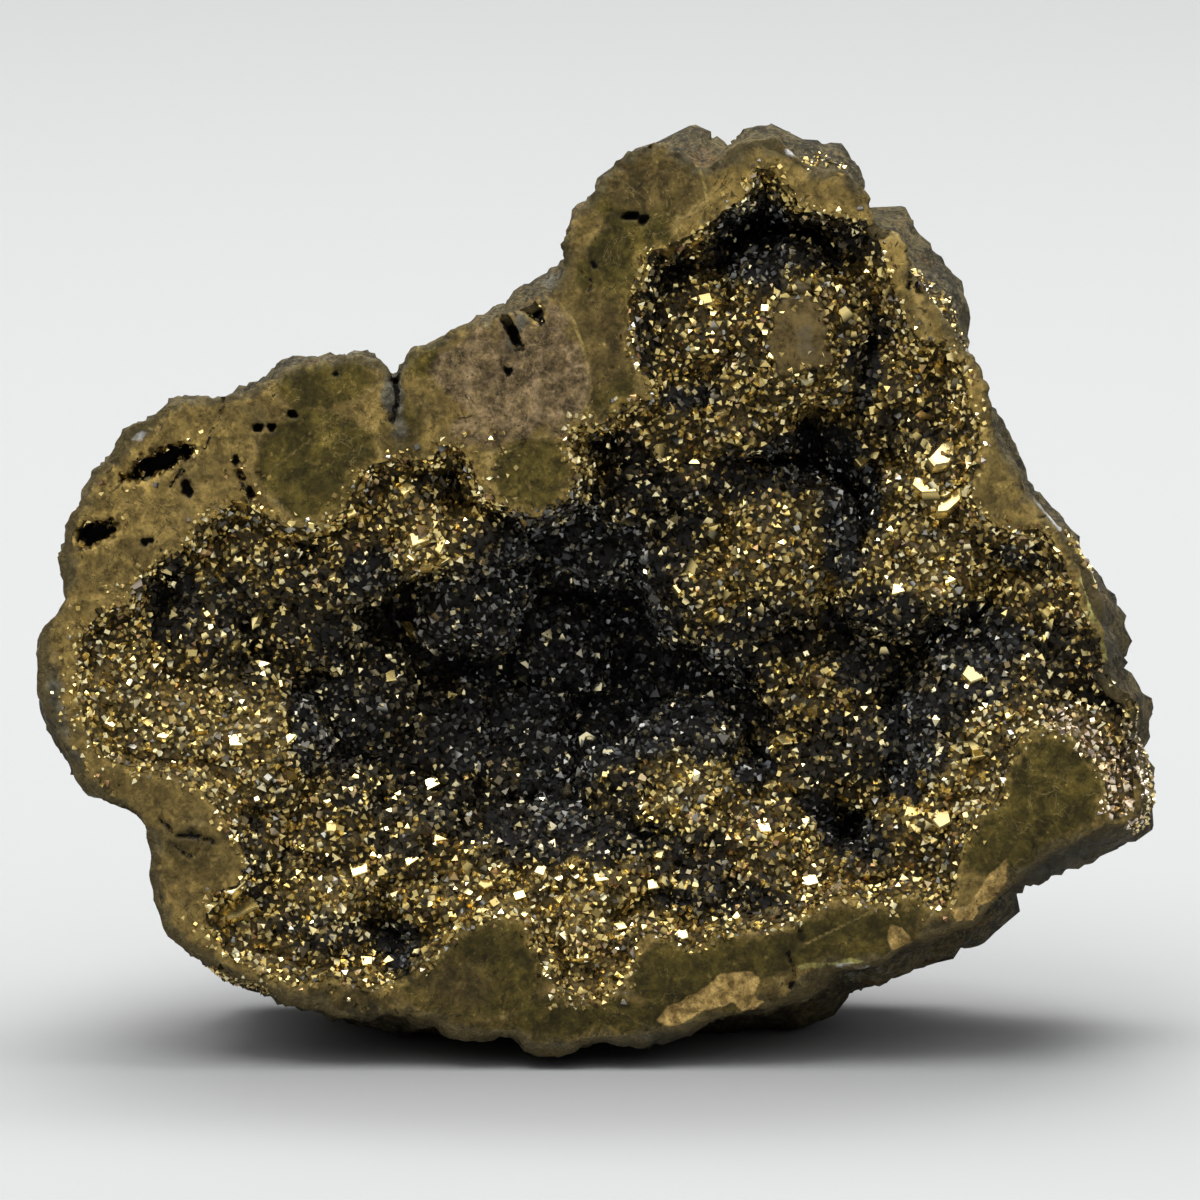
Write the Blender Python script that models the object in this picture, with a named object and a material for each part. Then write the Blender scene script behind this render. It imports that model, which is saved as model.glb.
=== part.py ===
"""Half of a natural geode, sawn flat, with a golden chalcopyrite druse lining its hollow.

It stands on a small flat spot under its rind. The sawn face looks towards -Y and leans back, and its
lower edge hangs a little above the table, in front of the spot.
The shape is worked out in the plane of the sawn face, in millimetres: u runs right, v runs up the
face and w runs straight into the stone. Outlines are read off the photograph in pixels, and SCALE turns
them into the specimen's real size.
"""

import math

import bmesh
import bpy
import numpy as np
from mathutils import Vector, noise
from mathutils.geometry import delaunay_2d_cdt

# Driving dimensions, in millimetres
WIDTH = 72.0
STONE_DEPTH = 30.0
LEAN = math.radians(8.0)
EDGE_LIFT = 1.7
CRUST = 1.5
THINNEST_CRUST = 0.7
GAP = 0.3
LEAST_WALL = 2.6
LEAST_BAND = 0.95

# Where the sawn face's origin lies in the model's frame, so that the frame's origin is under the middle
FACE_X = 0.16
FACE_Y = -16.82

# The photograph's scale: the pixels at the specimen's left and right ends, and the origin of u and v
LEFT_PX = 45
RIGHT_PX = 1156
MIDDLE_PX = 600
FOOT_PX = 1046
SCALE = WIDTH / (RIGHT_PX - LEFT_PX)

# Spacing of the points on each surface, in millimetres, and how far round a point of the crust's back
# looks for the deepest spot of the hollow that it has to pass behind
OUTLINE_POINTS = 150
RIM_POINTS = 150
FACE_STEP = 2.6
WALL_STEP = 2.6
WALL_LOOK_ROUND = 1.56
RIND_STEP = 1.75
RIND_LOOPS = (0.5, 1.2, 2.2, 3.4)
CRYSTAL_STEP = 1.12

# The deepest point of the back, in pixels, and how boxy the back is
BACK_POLE = (590, 720)
BACK_POWER = 0.72

# The rind's shoulder, which stands out past the sawn edge: the share of the way in to the pole that it
# takes up, how squarely it rises, its gain over the listed stand-outs, the stand-out in millimetres from
# which it also makes up for the rounding of the back, and how deep dents in it may be
ROUNDING_REACH = 0.5
SHOULDER_POWER = 0.35
STAND_GAIN = 1.1
FULL_STAND = 1.0
SHOULDER_DENT = 0.3

# The rind's knobs, broad swells and grain: how far apart they are and how far they rise, in millimetres
KNOB_SIZE = 6.5
KNOB_RISE = 2.4
SWELL_SIZE = 11.0
SWELL_RISE = 1.1
GRAIN_SIZE = 2.9
GRAIN_RISE = 0.4

# Limits of that relief, in millimetres: at the sawn edge, at the back, in dents, and how near the plane of
# the sawn face the rind may come
EDGE_RELIEF = 0.3
INNER_RELIEF = 6.0
DEEPEST_DENT = 4.8
LEAST_RIND_DEPTH = 0.5

# Edge of the sawn face, clockwise from the left, each point with how far the rind stands out past it
CUT_EDGE = [
    (50, 640, 5), (58, 618, 5), (66, 600, 4), (68, 580, 14), (72, 558, 6), (76, 530, 4),
    (84, 505, 3), (98, 478, 3), (120, 455, 4), (132, 438, 5), (155, 425, 3), (178, 406, 3),
    (205, 396, 4), (228, 395, 4), (262, 380, 3), (290, 364, 4), (320, 357, 5), (350, 354, 5),
    (372, 358, 5), (385, 368, 5), (394, 378, 6), (404, 366, 8), (412, 352, 10), (440, 338, 8),
    (465, 325, 7), (490, 320, 6), (505, 312, 10), (522, 303, 12), (548, 290, 12), (562, 270, 8),
    (560, 245, 7), (568, 222, 8), (584, 200, 7), (600, 177, 7), (615, 158, 7), (640, 146, 5),
    (665, 142, 5), (684, 152, 8), (703, 166, 26), (725, 160, 30), (742, 150, 34), (765, 150, 26),
    (785, 160, 20), (808, 170, 22), (830, 172, 20), (850, 178, 13), (865, 192, 9), (873, 210, 4),
    (884, 226, 3), (902, 232, 4), (912, 258, 11), (925, 285, 18), (942, 305, 20), (955, 325, 16),
    (968, 345, 12), (982, 365, 9), (994, 390, 7), (996, 420, 5), (1003, 442, 6), (1015, 465, 7),
    (1026, 490, 8), (1042, 510, 12), (1058, 530, 12), (1072, 552, 9), (1080, 575, 14),
    (1088, 600, 16), (1100, 625, 16), (1110, 650, 12), (1118, 675, 9), (1135, 695, 6),
    (1142, 725, 7), (1141, 755, 7), (1143, 785, 8), (1142, 810, 5), (1128, 825, 12),
    (1108, 830, 22), (1088, 838, 24), (1060, 850, 24), (1035, 862, 24), (1015, 878, 14),
    (1000, 895, 7), (975, 915, 14), (950, 925, 18), (925, 935, 22), (900, 948, 26), (870, 958, 26),
    (835, 968, 30), (812, 985, 30), (790, 995, 28), (765, 1008, 24), (740, 1018, 20),
    (710, 1022, 20), (680, 1026, 20), (650, 1032, 18), (620, 1036, 18), (590, 1036, 18),
    (565, 1040, 18), (540, 1040, 18), (510, 1030, 20), (470, 1028, 20), (430, 1024, 20),
    (395, 1022, 18), (360, 1018, 18), (325, 1003, 14), (290, 992, 14), (255, 980, 10),
    (225, 966, 8), (200, 948, 6), (178, 930, 6), (165, 905, 5), (158, 875, 4), (156, 848, 4),
    (148, 828, 5), (128, 812, 4), (104, 800, 4), (85, 780, 5), (68, 755, 5), (56, 732, 5),
    (49, 705, 5), (47, 670, 5),
]

# Rim of the hollow, where the sawn face ends and the crystals begin, clockwise from the left
HOLLOW_RIM = [
    (80, 645), (88, 625), (108, 612), (132, 600), (142, 578), (160, 562), (184, 552), (198, 528),
    (222, 512), (250, 504), (272, 520), (300, 528), (328, 522), (346, 506), (356, 484), (372, 465),
    (400, 460), (424, 460), (446, 446), (464, 452), (474, 470), (484, 492), (506, 508), (530, 517),
    (556, 507), (574, 488), (576, 466), (566, 446), (578, 428), (604, 424), (630, 408), (654, 396),
    (648, 374), (636, 352), (629, 325), (632, 300), (646, 278), (652, 256), (676, 240), (704, 226),
    (728, 208), (748, 194), (755, 174), (770, 170), (784, 188), (800, 204), (826, 216), (852, 218),
    (874, 234), (886, 262), (892, 290), (904, 312), (920, 340), (946, 350), (962, 372), (968, 400),
    (978, 428), (978, 460), (972, 492), (986, 518), (1014, 530), (1040, 530), (1056, 548),
    (1068, 574), (1078, 600), (1094, 628), (1104, 655), (1114, 680), (1130, 704), (1134, 735),
    (1134, 770), (1136, 800), (1120, 820), (1108, 812), (1106, 785), (1096, 762), (1078, 740),
    (1052, 726), (1030, 728), (1014, 748), (1006, 775), (1000, 800), (976, 814), (964, 842),
    (960, 872), (950, 898), (930, 904), (905, 893), (880, 902), (850, 897), (824, 900), (800, 916),
    (770, 926), (740, 931), (712, 936), (690, 948), (668, 938), (648, 932), (634, 948), (628, 972),
    (612, 992), (586, 998), (562, 992), (546, 972), (534, 948), (522, 922), (496, 916), (468, 924),
    (446, 944), (424, 960), (410, 974), (384, 984), (350, 982), (322, 976), (296, 986), (266, 980),
    (240, 966), (220, 944), (206, 920), (214, 896), (238, 884), (246, 860), (236, 838), (222, 818),
    (206, 798), (184, 780), (156, 772), (120, 766), (96, 748), (84, 720), (80, 690), (78, 665),
]

# The hollow's floor: basins as (x, y, radius) in pixels and the depth that each adds in millimetres
FLOOR_DEPTH = 3.6
WALL_REACH = 1.5
BASINS = [
    (585, 600, 170, 8.5), (480, 690, 150, 4.5), (700, 690, 120, 4.0), (775, 242, 62, 9.0),
    (672, 272, 26, 2.5), (868, 352, 26, 4.0), (852, 392, 24, 3.0), (702, 396, 28, 3.0),
    (800, 462, 58, 6.0), (852, 500, 32, 6.0), (845, 548, 30, 6.0), (900, 640, 75, 5.0),
    (975, 655, 38, 4.5), (1030, 562, 34, 3.0), (908, 750, 40, 6.5), (757, 772, 28, 6.0),
    (835, 822, 30, 5.0), (868, 845, 28, 5.0), (392, 947, 28, 3.5), (165, 595, 40, 2.0),
    (555, 825, 60, 4.0), (1108, 702, 26, 2.0), (375, 592, 36, 2.5), (612, 452, 30, 1.5),
    (340, 660, 90, 2.0),
]

# Rounded lumps that rise from that floor: (x, y, radius) in pixels and the depth of the top in millimetres
LUMPS = [
    (795, 335, 70, 0.1), (700, 335, 55, 1.2), (735, 410, 45, 2.0), (655, 425, 35, 1.6),
    (905, 385, 48, 2.2), (935, 425, 40, 2.0), (945, 475, 42, 1.2), (930, 560, 68, 1.6),
    (870, 585, 36, 2.5), (785, 545, 62, 1.8), (700, 595, 46, 3.0), (740, 620, 36, 3.6),
    (1060, 610, 46, 1.6), (1040, 660, 40, 2.4), (1030, 540, 30, 1.2), (1010, 730, 85, 0.4),
    (960, 775, 50, 1.6), (830, 700, 48, 5.0), (860, 760, 46, 4.2), (690, 800, 66, 3.2),
    (625, 800, 40, 4.0), (760, 850, 60, 3.0), (665, 870, 45, 3.0), (590, 890, 62, 1.8),
    (540, 880, 40, 2.0), (480, 880, 52, 1.8), (600, 960, 45, 0.8), (410, 850, 60, 3.0),
    (330, 830, 60, 2.6), (290, 900, 46, 2.0), (340, 900, 40, 2.4), (250, 800, 48, 2.0),
    (245, 740, 60, 0.8), (160, 725, 66, 0.5), (110, 700, 40, 0.6), (255, 950, 42, 0.8),
    (320, 955, 36, 1.0), (440, 920, 40, 1.4), (120, 650, 46, 0.8), (195, 640, 50, 1.6),
    (210, 590, 40, 1.8), (270, 560, 46, 1.2), (340, 560, 46, 1.2), (300, 620, 50, 2.4),
    (430, 545, 34, 0.8), (400, 505, 44, 1.0), (475, 540, 34, 1.8), (350, 700, 50, 5.0),
    (520, 740, 48, 9.5), (770, 655, 44, 6.0), (560, 660, 50, 11.0), (470, 610, 42, 5.5),
    (620, 520, 60, 7.0), (640, 480, 40, 3.5), (700, 470, 45, 3.2), (690, 530, 45, 5.0),
    (860, 660, 40, 6.5), (430, 760, 55, 6.5), (520, 800, 50, 7.0), (820, 780, 35, 5.0),
    (900, 880, 40, 1.8), (850, 885, 36, 1.6), (920, 830, 40, 1.6), (780, 900, 40, 1.8),
    (715, 905, 40, 2.4), (1100, 740, 40, 0.6), (1115, 790, 34, 0.5), (1080, 650, 36, 1.6),
]
LUMP_SPREAD = 1.25
LUMP_BLEND = 0.35
LUMP_FLARE = 30

# A lump of the crust that the saw cut flat: centre and half sizes in pixels
SAWN_TOP = (800, 334, 33, 40)

# Small open vugs in the sawn face: (x, y, half length, half width) in pixels, tilt in degrees, depth in mm
VUGS = [
    (158, 463, 38, 13, 24, 3.2), (97, 531, 20, 14, 20, 2.8), (638, 216, 17, 7, 5, 1.6),
    (264, 427, 16, 7, 0, 1.4),
]

# Larger crystals that stand out of the druse: (x, y) in pixels, size in mm, sides, turn in degrees
TALL_CRYSTALS = [
    (945, 455, 1.9, 4, 35), (952, 500, 2.1, 3, 20), (922, 482, 1.6, 4, 70), (430, 550, 2.2, 5, 10),
    (411, 636, 1.5, 3, 0), (232, 910, 1.6, 4, 40), (972, 677, 1.4, 4, 25), (873, 464, 1.3, 4, 60),
    (640, 820, 1.5, 3, 50), (912, 812, 1.5, 4, 15), (232, 640, 1.3, 3, 75), (260, 668, 1.3, 4, 20),
    (355, 870, 1.4, 5, 0), (395, 893, 1.4, 3, 30), (434, 778, 1.3, 4, 65), (518, 748, 1.2, 3, 40),
    (605, 876, 1.7, 4, 30), (645, 872, 1.7, 4, 80), (700, 790, 1.3, 3, 10), (808, 885, 1.5, 4, 55),
    (890, 565, 1.5, 3, 15), (955, 580, 1.5, 3, 65), (680, 612, 1.5, 3, 35), (717, 630, 1.3, 3, 5),
    (255, 615, 1.4, 4, 50), (195, 735, 1.4, 3, 25), (280, 735, 1.4, 4, 0), (575, 960, 1.3, 4, 20),
    (680, 915, 1.3, 4, 45), (1050, 605, 1.2, 3, 30),
]

# How far the small crystals rise, in millimetres, and the larger ones as a share of their size
CRYSTAL_HEIGHT = (0.35, 1.15)
TALLNESS = 0.8

# How near the rim the small crystals begin, how far they stray from even spacing, how far sideways their
# tips lean, in millimetres, and the share of the hollow's depth that a crystal fills at most
CRYSTAL_RIM_GAP = 0.62
CRYSTAL_JITTER = 0.22
CRYSTAL_LEAN = 0.33
CRYSTAL_SHARE_OF_DEPTH = 0.85

RANDOM_SEED = 7


def face_point(x, y):
    """(u, v) in millimetres of a pixel of the photograph."""
    return (x - MIDDLE_PX) * SCALE, (FOOT_PX - y) * SCALE


def smooth_loop(points, count):
    """A closed Catmull-Rom curve through the points, sampled at equal steps of its length."""
    p = np.asarray(points, float)
    before, here, after, beyond = (np.roll(p, k, axis=0)[:, None] for k in (1, 0, -1, -2))
    t = np.linspace(0, 1, 16, endpoint=False)[None, :, None]
    curve = 0.5 * (
        2 * here
        + (after - before) * t
        + (2 * before - 5 * here + 4 * after - beyond) * t**2
        + (3 * here - before - 3 * after + beyond) * t**3
    ).reshape(-1, p.shape[1])
    closed = np.vstack([curve, curve[:1]])
    length = np.r_[0, np.cumsum(np.hypot(*np.diff(closed[:, :2], axis=0).T))]
    at = np.linspace(0, length[-1], count, endpoint=False)
    return np.column_stack([np.interp(at, length, closed[:, k]) for k in range(p.shape[1])])


def loop_normals(loop):
    """Outward unit normals of a loop that runs clockwise as seen from in front of the face."""
    along = np.roll(loop[:, :2], -1, axis=0) - np.roll(loop[:, :2], 1, axis=0)
    along /= np.linalg.norm(along, axis=1)[:, None]
    return np.column_stack([-along[:, 1], along[:, 0]])


def distance_inside(points, loop):
    """Distance of each point from the closed loop, positive inside it, and the nearest loop point's index."""
    start = loop[:, :2]
    step = np.roll(start, -1, axis=0) - start
    distance = np.empty(len(points))
    nearest = np.empty(len(points), int)
    for first in range(0, len(points), 2000):
        p = points[first : first + 2000, None, :]
        away = p - start
        share = np.clip((away * step).sum(2) / (step**2).sum(1), 0, 1)
        gap = np.hypot(*np.moveaxis(away - share[..., None] * step, 2, 0))
        above = start[:, 1] > p[..., 1]
        crosses = above != np.roll(above, -1, axis=1)
        rise = np.where(step[:, 1] == 0, 1e-9, step[:, 1])
        crosses &= p[..., 0] < start[:, 0] + (p[..., 1] - start[:, 1]) / rise * step[:, 0]
        sign = np.where(crosses.sum(1) % 2 == 1, 1.0, -1.0)
        rows = slice(first, first + len(p))
        nearest[rows] = gap.argmin(1)
        distance[rows] = gap.min(1) * sign
    return distance, nearest


def keep_inside(rim, edge, least):
    """The rim moved in wherever it comes nearer than the least distance to the edge."""
    for _ in range(3):
        inside, nearest = distance_inside(rim, edge)
        rim = rim - loop_normals(edge)[nearest] * (least - inside).clip(0)[:, None]
    return rim


def lattice(loop, step):
    """Points of a triangular lattice over a loop's box, and which of them are the middles of hexagons."""
    low, high = loop[:, :2].min(0), loop[:, :2].max(0)
    rise = step * math.sqrt(3) / 2
    points, middles = [], []
    for row in range(int((high[1] - low[1]) / rise) + 2):
        for column in range(int((high[0] - low[0]) / step) + 2):
            shift = 0.5 * (row % 2)
            points.append((low[0] + (column + shift) * step, low[1] + row * rise))
            middles.append((column - (row - row % 2) // 2 - row) % 3 == 0)
    return np.array(points), np.array(middles)


def triangulate(points, loops):
    """Delaunay triangles over the points that keep each loop's edges, all turning counterclockwise."""
    edges = [(a, b) for loop in loops for a, b in zip(loop, list(loop[1:]) + [loop[0]])]
    made = delaunay_2d_cdt([Vector(p) for p in points], edges, [], 0, 1e-6)
    source = [ids[0] for ids in made[3]]
    faces = np.array([[source[i] for i in face] for face in made[2]])
    a, b, c = (np.asarray(points)[faces[:, k]] for k in range(3))
    turn = (b - a)[:, 0] * (c - a)[:, 1] - (b - a)[:, 1] * (c - a)[:, 0]
    faces[turn < 0] = faces[turn < 0][:, ::-1]
    return faces


def back_depth(points, edge):
    """Depth of the smooth back of the stone behind each point, and how far out the point is, 0 to 1."""
    inside, nearest = distance_inside(points, edge)
    pole = np.array(face_point(*BACK_POLE))
    out = np.linalg.norm(points - pole, axis=1)
    share = out / np.maximum(out + np.maximum(inside, 0), 1e-9)
    depth = STONE_DEPTH * np.cos(share * math.pi / 2).clip(0) ** BACK_POWER
    return depth, share, nearest


def wall_depth(points, edge):
    """Depth of the stone's back straight behind each point, where the rounded back has drawn in."""
    inside, _ = distance_inside(points, edge)
    out = np.linalg.norm(points - face_point(*BACK_POLE), axis=1)
    lateral = out / np.maximum(out + np.maximum(inside, 0), 1e-9)
    return STONE_DEPTH * np.sqrt(1 - lateral.clip(0, 1) ** 2) ** BACK_POWER


def hollow_depth(points, rim, edge):
    """Depth of the crust's surface behind the sawn face."""
    inside, _ = distance_inside(points, rim)
    floor = np.full(len(points), FLOOR_DEPTH)
    for x, y, radius, extra in BASINS:
        reach = np.linalg.norm(points - face_point(x, y), axis=1) / (radius * SCALE)
        floor += extra * np.exp(-(reach**2))
    depth = floor * (1 - np.exp(-inside.clip(0) / WALL_REACH))
    for x, y, radius, top in LUMPS:
        ball = radius * SCALE * LUMP_SPREAD
        reach = np.linalg.norm(points - face_point(x, y), axis=1) / ball
        dome = top + ball * (1 - np.sqrt((1 - reach**2).clip(0))) + LUMP_FLARE * (reach - 1).clip(0)
        mix = (0.5 + 0.5 * (depth - dome) / LUMP_BLEND).clip(0, 1)
        depth = depth * (1 - mix) + dome * mix - LUMP_BLEND * mix * (1 - mix)
    most = wall_depth(points, edge) - LEAST_WALL - CRUST
    return np.minimum(depth, most.clip(0)).clip(0)


def rind_relief(point):
    """How far the knobbly rind stands out of its smooth form at a point, in millimetres."""
    knobs = noise.voronoi(Vector(point) / KNOB_SIZE)[0]
    swell = noise.noise(Vector(point) / SWELL_SIZE + Vector((5.1, 2.3, 8.7)))
    grain = noise.fractal(Vector(point) / GRAIN_SIZE, 0.9, 2.1, 3)
    return KNOB_RISE * (0.55 - knobs[0]) + SWELL_RISE * swell + GRAIN_RISE * grain


def to_model(points):
    """(u, v, w) in millimetres to the model's frame in metres, leaning the face back."""
    u, v, w = np.asarray(points, float).T
    up = v * math.cos(LEAN) - w * math.sin(LEAN) + EDGE_LIFT
    back = v * math.sin(LEAN) + w * math.cos(LEAN)
    return np.column_stack([u + FACE_X, back + FACE_Y, up]) / 1000


def vertex_normals(points, faces):
    """Unit normals of a surface's points on their deeper side, weighted by the faces' areas."""
    a, b, c = (points[faces[:, k]] for k in range(3))
    across = np.cross(b - a, c - a)
    total = np.zeros_like(points)
    for k in range(3):
        np.add.at(total, faces[:, k], across)
    return total / np.maximum(np.linalg.norm(total, axis=1), 1e-12)[:, None]


def rind_surface(edge, step):
    """Points (u, v, w) and faces of the outer rind, whose first points are the sawn face's edge."""
    count = len(edge)
    rows = [edge[:, :2]]
    for inset in RIND_LOOPS:
        row = edge[:, :2] - loop_normals(edge) * inset
        rows.append(row[distance_inside(row, edge)[0] > 0.9 * inset])
    grid, _ = lattice(edge, step)
    rows.append(grid[distance_inside(grid, edge)[0] > RIND_LOOPS[-1] + 0.5 * step])
    flat = np.vstack(rows)
    faces = triangulate(flat, [list(range(count))])
    faces = faces[distance_inside(flat[faces].mean(1), edge)[0] > 0]
    depth, share, nearest = back_depth(flat, edge)
    pole = np.array(face_point(*BACK_POLE))
    angle = share * math.pi / 2
    widen = np.where(share > 1e-6, np.sin(angle) / np.maximum(share, 1e-6), math.pi / 2)
    outward = loop_normals(edge)[nearest]
    out = STAND_GAIN * edge[nearest, 2]
    side = pole + (flat - pole) * widen[:, None]
    drawn_in = ((edge[nearest, :2] - side) * outward).sum(1).clip(0)
    full = out + (out / FULL_STAND).clip(0, 1) * drawn_in
    shoulder = np.sin(math.pi * ((1 - share) / ROUNDING_REACH).clip(0, 1)).clip(0) ** SHOULDER_POWER
    stand = full * shoulder
    side += outward * stand[:, None]
    points = np.column_stack([side, depth])
    points[:count, 2] = 0
    normals = vertex_normals(points, faces)
    normals[:count] = np.column_stack([loop_normals(edge), np.zeros(count)])
    relief = np.array([rind_relief(p) for p in points])
    relief = np.minimum(relief, EDGE_RELIEF + (out - stand).clip(0) + INNER_RELIEF * (1 - share))
    dent = SHOULDER_DENT + DEEPEST_DENT * (1 - shoulder * (out / FULL_STAND).clip(0, 1))
    relief = np.maximum(relief, -dent)
    relief[:count] = EDGE_RELIEF * relief[:count].clip(-1, 1)
    points += normals * relief[:, None]
    points[count:, 2] = points[count:, 2].clip(LEAST_RIND_DEPTH)
    return points, faces


def depth_under(points, surface, faces):
    """Depth of a surface of (u, v, w) triangles straight behind each (u, v) point."""
    a, b, c = (surface[faces[:, k]] for k in range(3))
    ab, ac = (b - a)[:, :2], (c - a)[:, :2]
    turn = ab[:, 0] * ac[:, 1] - ab[:, 1] * ac[:, 0]
    found = np.empty(len(points))
    for k, p in enumerate(points):
        ap = p - a[:, :2]
        to_c = (ab[:, 0] * ap[:, 1] - ab[:, 1] * ap[:, 0]) / turn
        to_b = (ap[:, 0] * ac[:, 1] - ap[:, 1] * ac[:, 0]) / turn
        best = np.minimum(np.minimum(to_b, to_c), 1 - to_b - to_c).argmax()
        share_b, share_c = to_b[best], to_c[best]
        found[k] = a[best, 2] + share_b * (b[best, 2] - a[best, 2]) + share_c * (c[best, 2] - a[best, 2])
    return found


def vug_points(vug):
    """A vug's rim loop at the face and its floor points, as (u, v, w)."""
    x, y, length, width, tilt, depth = vug
    turn = math.radians(tilt)
    rim, floor = [], []
    for k in range(12):
        angle = -k * math.tau / 12
        for share, ring, w in ((1.0, rim, 0.0), (0.55, floor, depth)):
            along = share * length * math.cos(angle)
            across = share * width * math.sin(angle)
            dx = along * math.cos(turn) - across * math.sin(turn)
            dy = along * math.sin(turn) + across * math.cos(turn)
            u, v = face_point(x, y)
            ring.append((u + dx * SCALE, v + dy * SCALE, w))
    return rim, floor[::2]


def deepest_near(points, rim, edge, reach):
    """Greatest depth of the crust's surface within reach of each point."""
    deepest = hollow_depth(points, rim, edge)
    for k in range(8):
        angle = k * math.tau / 8
        shift = np.array([math.cos(angle), math.sin(angle)]) * reach
        deepest = np.maximum(deepest, hollow_depth(points + shift, rim, edge))
    return deepest


def crust_back(rim, edge):
    """The crust's hidden back, as (u, v, w) points that begin with the rim, and its faces."""
    grid, _ = lattice(rim, WALL_STEP)
    grid = grid[distance_inside(grid, rim)[0] > 0.5 * WALL_STEP]
    most = wall_depth(grid, edge) - LEAST_WALL
    depth = np.minimum(deepest_near(grid, rim, edge, WALL_LOOK_ROUND) + CRUST, most)
    flat = np.vstack([rim, grid])
    faces = triangulate(flat, [list(range(len(rim)))])
    faces = faces[distance_inside(flat[faces].mean(1), rim)[0] > 0]
    depth = np.concatenate([np.full(len(rim), CRUST), np.maximum(depth, CRUST)])
    return np.column_stack([flat, depth]), faces


def wall_between(front, back, count):
    """Faces of a wall between two rings of as many points, given each ring's first point."""
    ring = np.arange(count)
    after = np.roll(ring, -1)
    one = np.column_stack([ring + front, after + front, ring + back])
    other = np.column_stack([after + front, after + back, ring + back])
    return np.vstack([one, other])


def add_object(name, points, faces, material, flat_foot=False):
    """A mesh object from (u, v, w) points, cut off flat at the foot if asked."""
    mesh = bpy.data.meshes.new(name)
    mesh.from_pydata(to_model(points).tolist(), [], [list(map(int, f)) for f in faces])
    work = bmesh.new()
    work.from_mesh(mesh)
    if flat_foot:
        everything = work.verts[:] + work.edges[:] + work.faces[:]
        cut = bmesh.ops.bisect_plane(
            work, geom=everything, dist=1e-7, plane_co=(0, 0, 0), plane_no=(0, 0, 1), clear_inner=True
        )
        rims = [e for e in cut["geom_cut"] if isinstance(e, bmesh.types.BMEdge)]
        bmesh.ops.holes_fill(work, edges=rims)
    bmesh.ops.recalc_face_normals(work, faces=work.faces)
    work.to_mesh(mesh)
    work.free()
    mesh.materials.append(material)
    obj = bpy.data.objects.new(name, mesh)
    bpy.context.scene.collection.objects.link(obj)
    return obj


def add_material(name, colour, roughness, metallic):
    """A plain surface finish."""
    material = bpy.data.materials.new(name)
    material.use_nodes = True
    shader = material.node_tree.nodes["Principled BSDF"]
    shader.inputs["Base Color"].default_value = (*colour, 1)
    shader.inputs["Roughness"].default_value = roughness
    shader.inputs["Metallic"].default_value = metallic
    return material


def build_stone(edge, rim):
    """The stone: rind, sawn face with its vugs, and the socket that the crust lies in."""
    rind, rind_faces = rind_surface(edge, RIND_STEP)
    outline = rind[: len(edge), :2]
    lip = rim + loop_normals(rim) * GAP
    socket, socket_faces = crust_back(rim, edge)
    away = vertex_normals(socket, socket_faces) + (0, 0, 1)
    away[: len(rim)] = np.column_stack([loop_normals(rim), np.ones(len(rim))])
    socket = socket + GAP * away

    points = [(*p, 0.0) for p in np.vstack([outline, lip])]
    loops = [list(range(len(edge))), list(range(len(edge), len(points)))]
    vugs = [vug_points(v) for v in VUGS]
    for vug_rim, vug_floor in vugs:
        loops.append(list(range(len(points), len(points) + len(vug_rim))))
        points += vug_rim + vug_floor
    fill, _ = lattice(edge, FACE_STEP)
    in_band = distance_inside(fill, outline)[0] > 0.5 * FACE_STEP
    in_band &= distance_inside(fill, lip)[0] < -0.5 * FACE_STEP
    for vug_rim, _ in vugs:
        in_band &= distance_inside(fill, np.array(vug_rim))[0] < -0.4 * FACE_STEP
    points += [(*p, 0.0) for p in fill[in_band]]

    points = np.array(points)
    faces = triangulate(points[:, :2], loops)
    middles = points[faces].mean(1)[:, :2]
    on_band = (distance_inside(middles, outline)[0] > 0) & (distance_inside(middles, lip)[0] < 0)
    faces = faces[on_band]
    wall = wall_between(len(edge), len(points), len(rim))
    socket_faces = socket_faces + len(points)
    shift = len(points) + len(socket) - len(edge)
    back = np.where(rind_faces < len(edge), rind_faces, rind_faces + shift)[:, ::-1]
    joined = np.vstack([points, socket, rind[len(edge) :]])
    material = add_material("stone", (0.30, 0.24, 0.10), 0.55, 0.0)
    every_face = np.vstack([faces, wall, socket_faces, back])
    return add_object("stone", joined, every_face, material, flat_foot=True)


def crystal_base(x, y, size, sides, turn):
    """The corners of a tall crystal's foot, as (u, v)."""
    middle = np.array(face_point(x, y))
    angles = [math.radians(turn) + k * math.tau / sides for k in range(sides)]
    return [middle + 0.5 * size * np.array([math.cos(a), math.sin(a)]) for a in angles]


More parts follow.
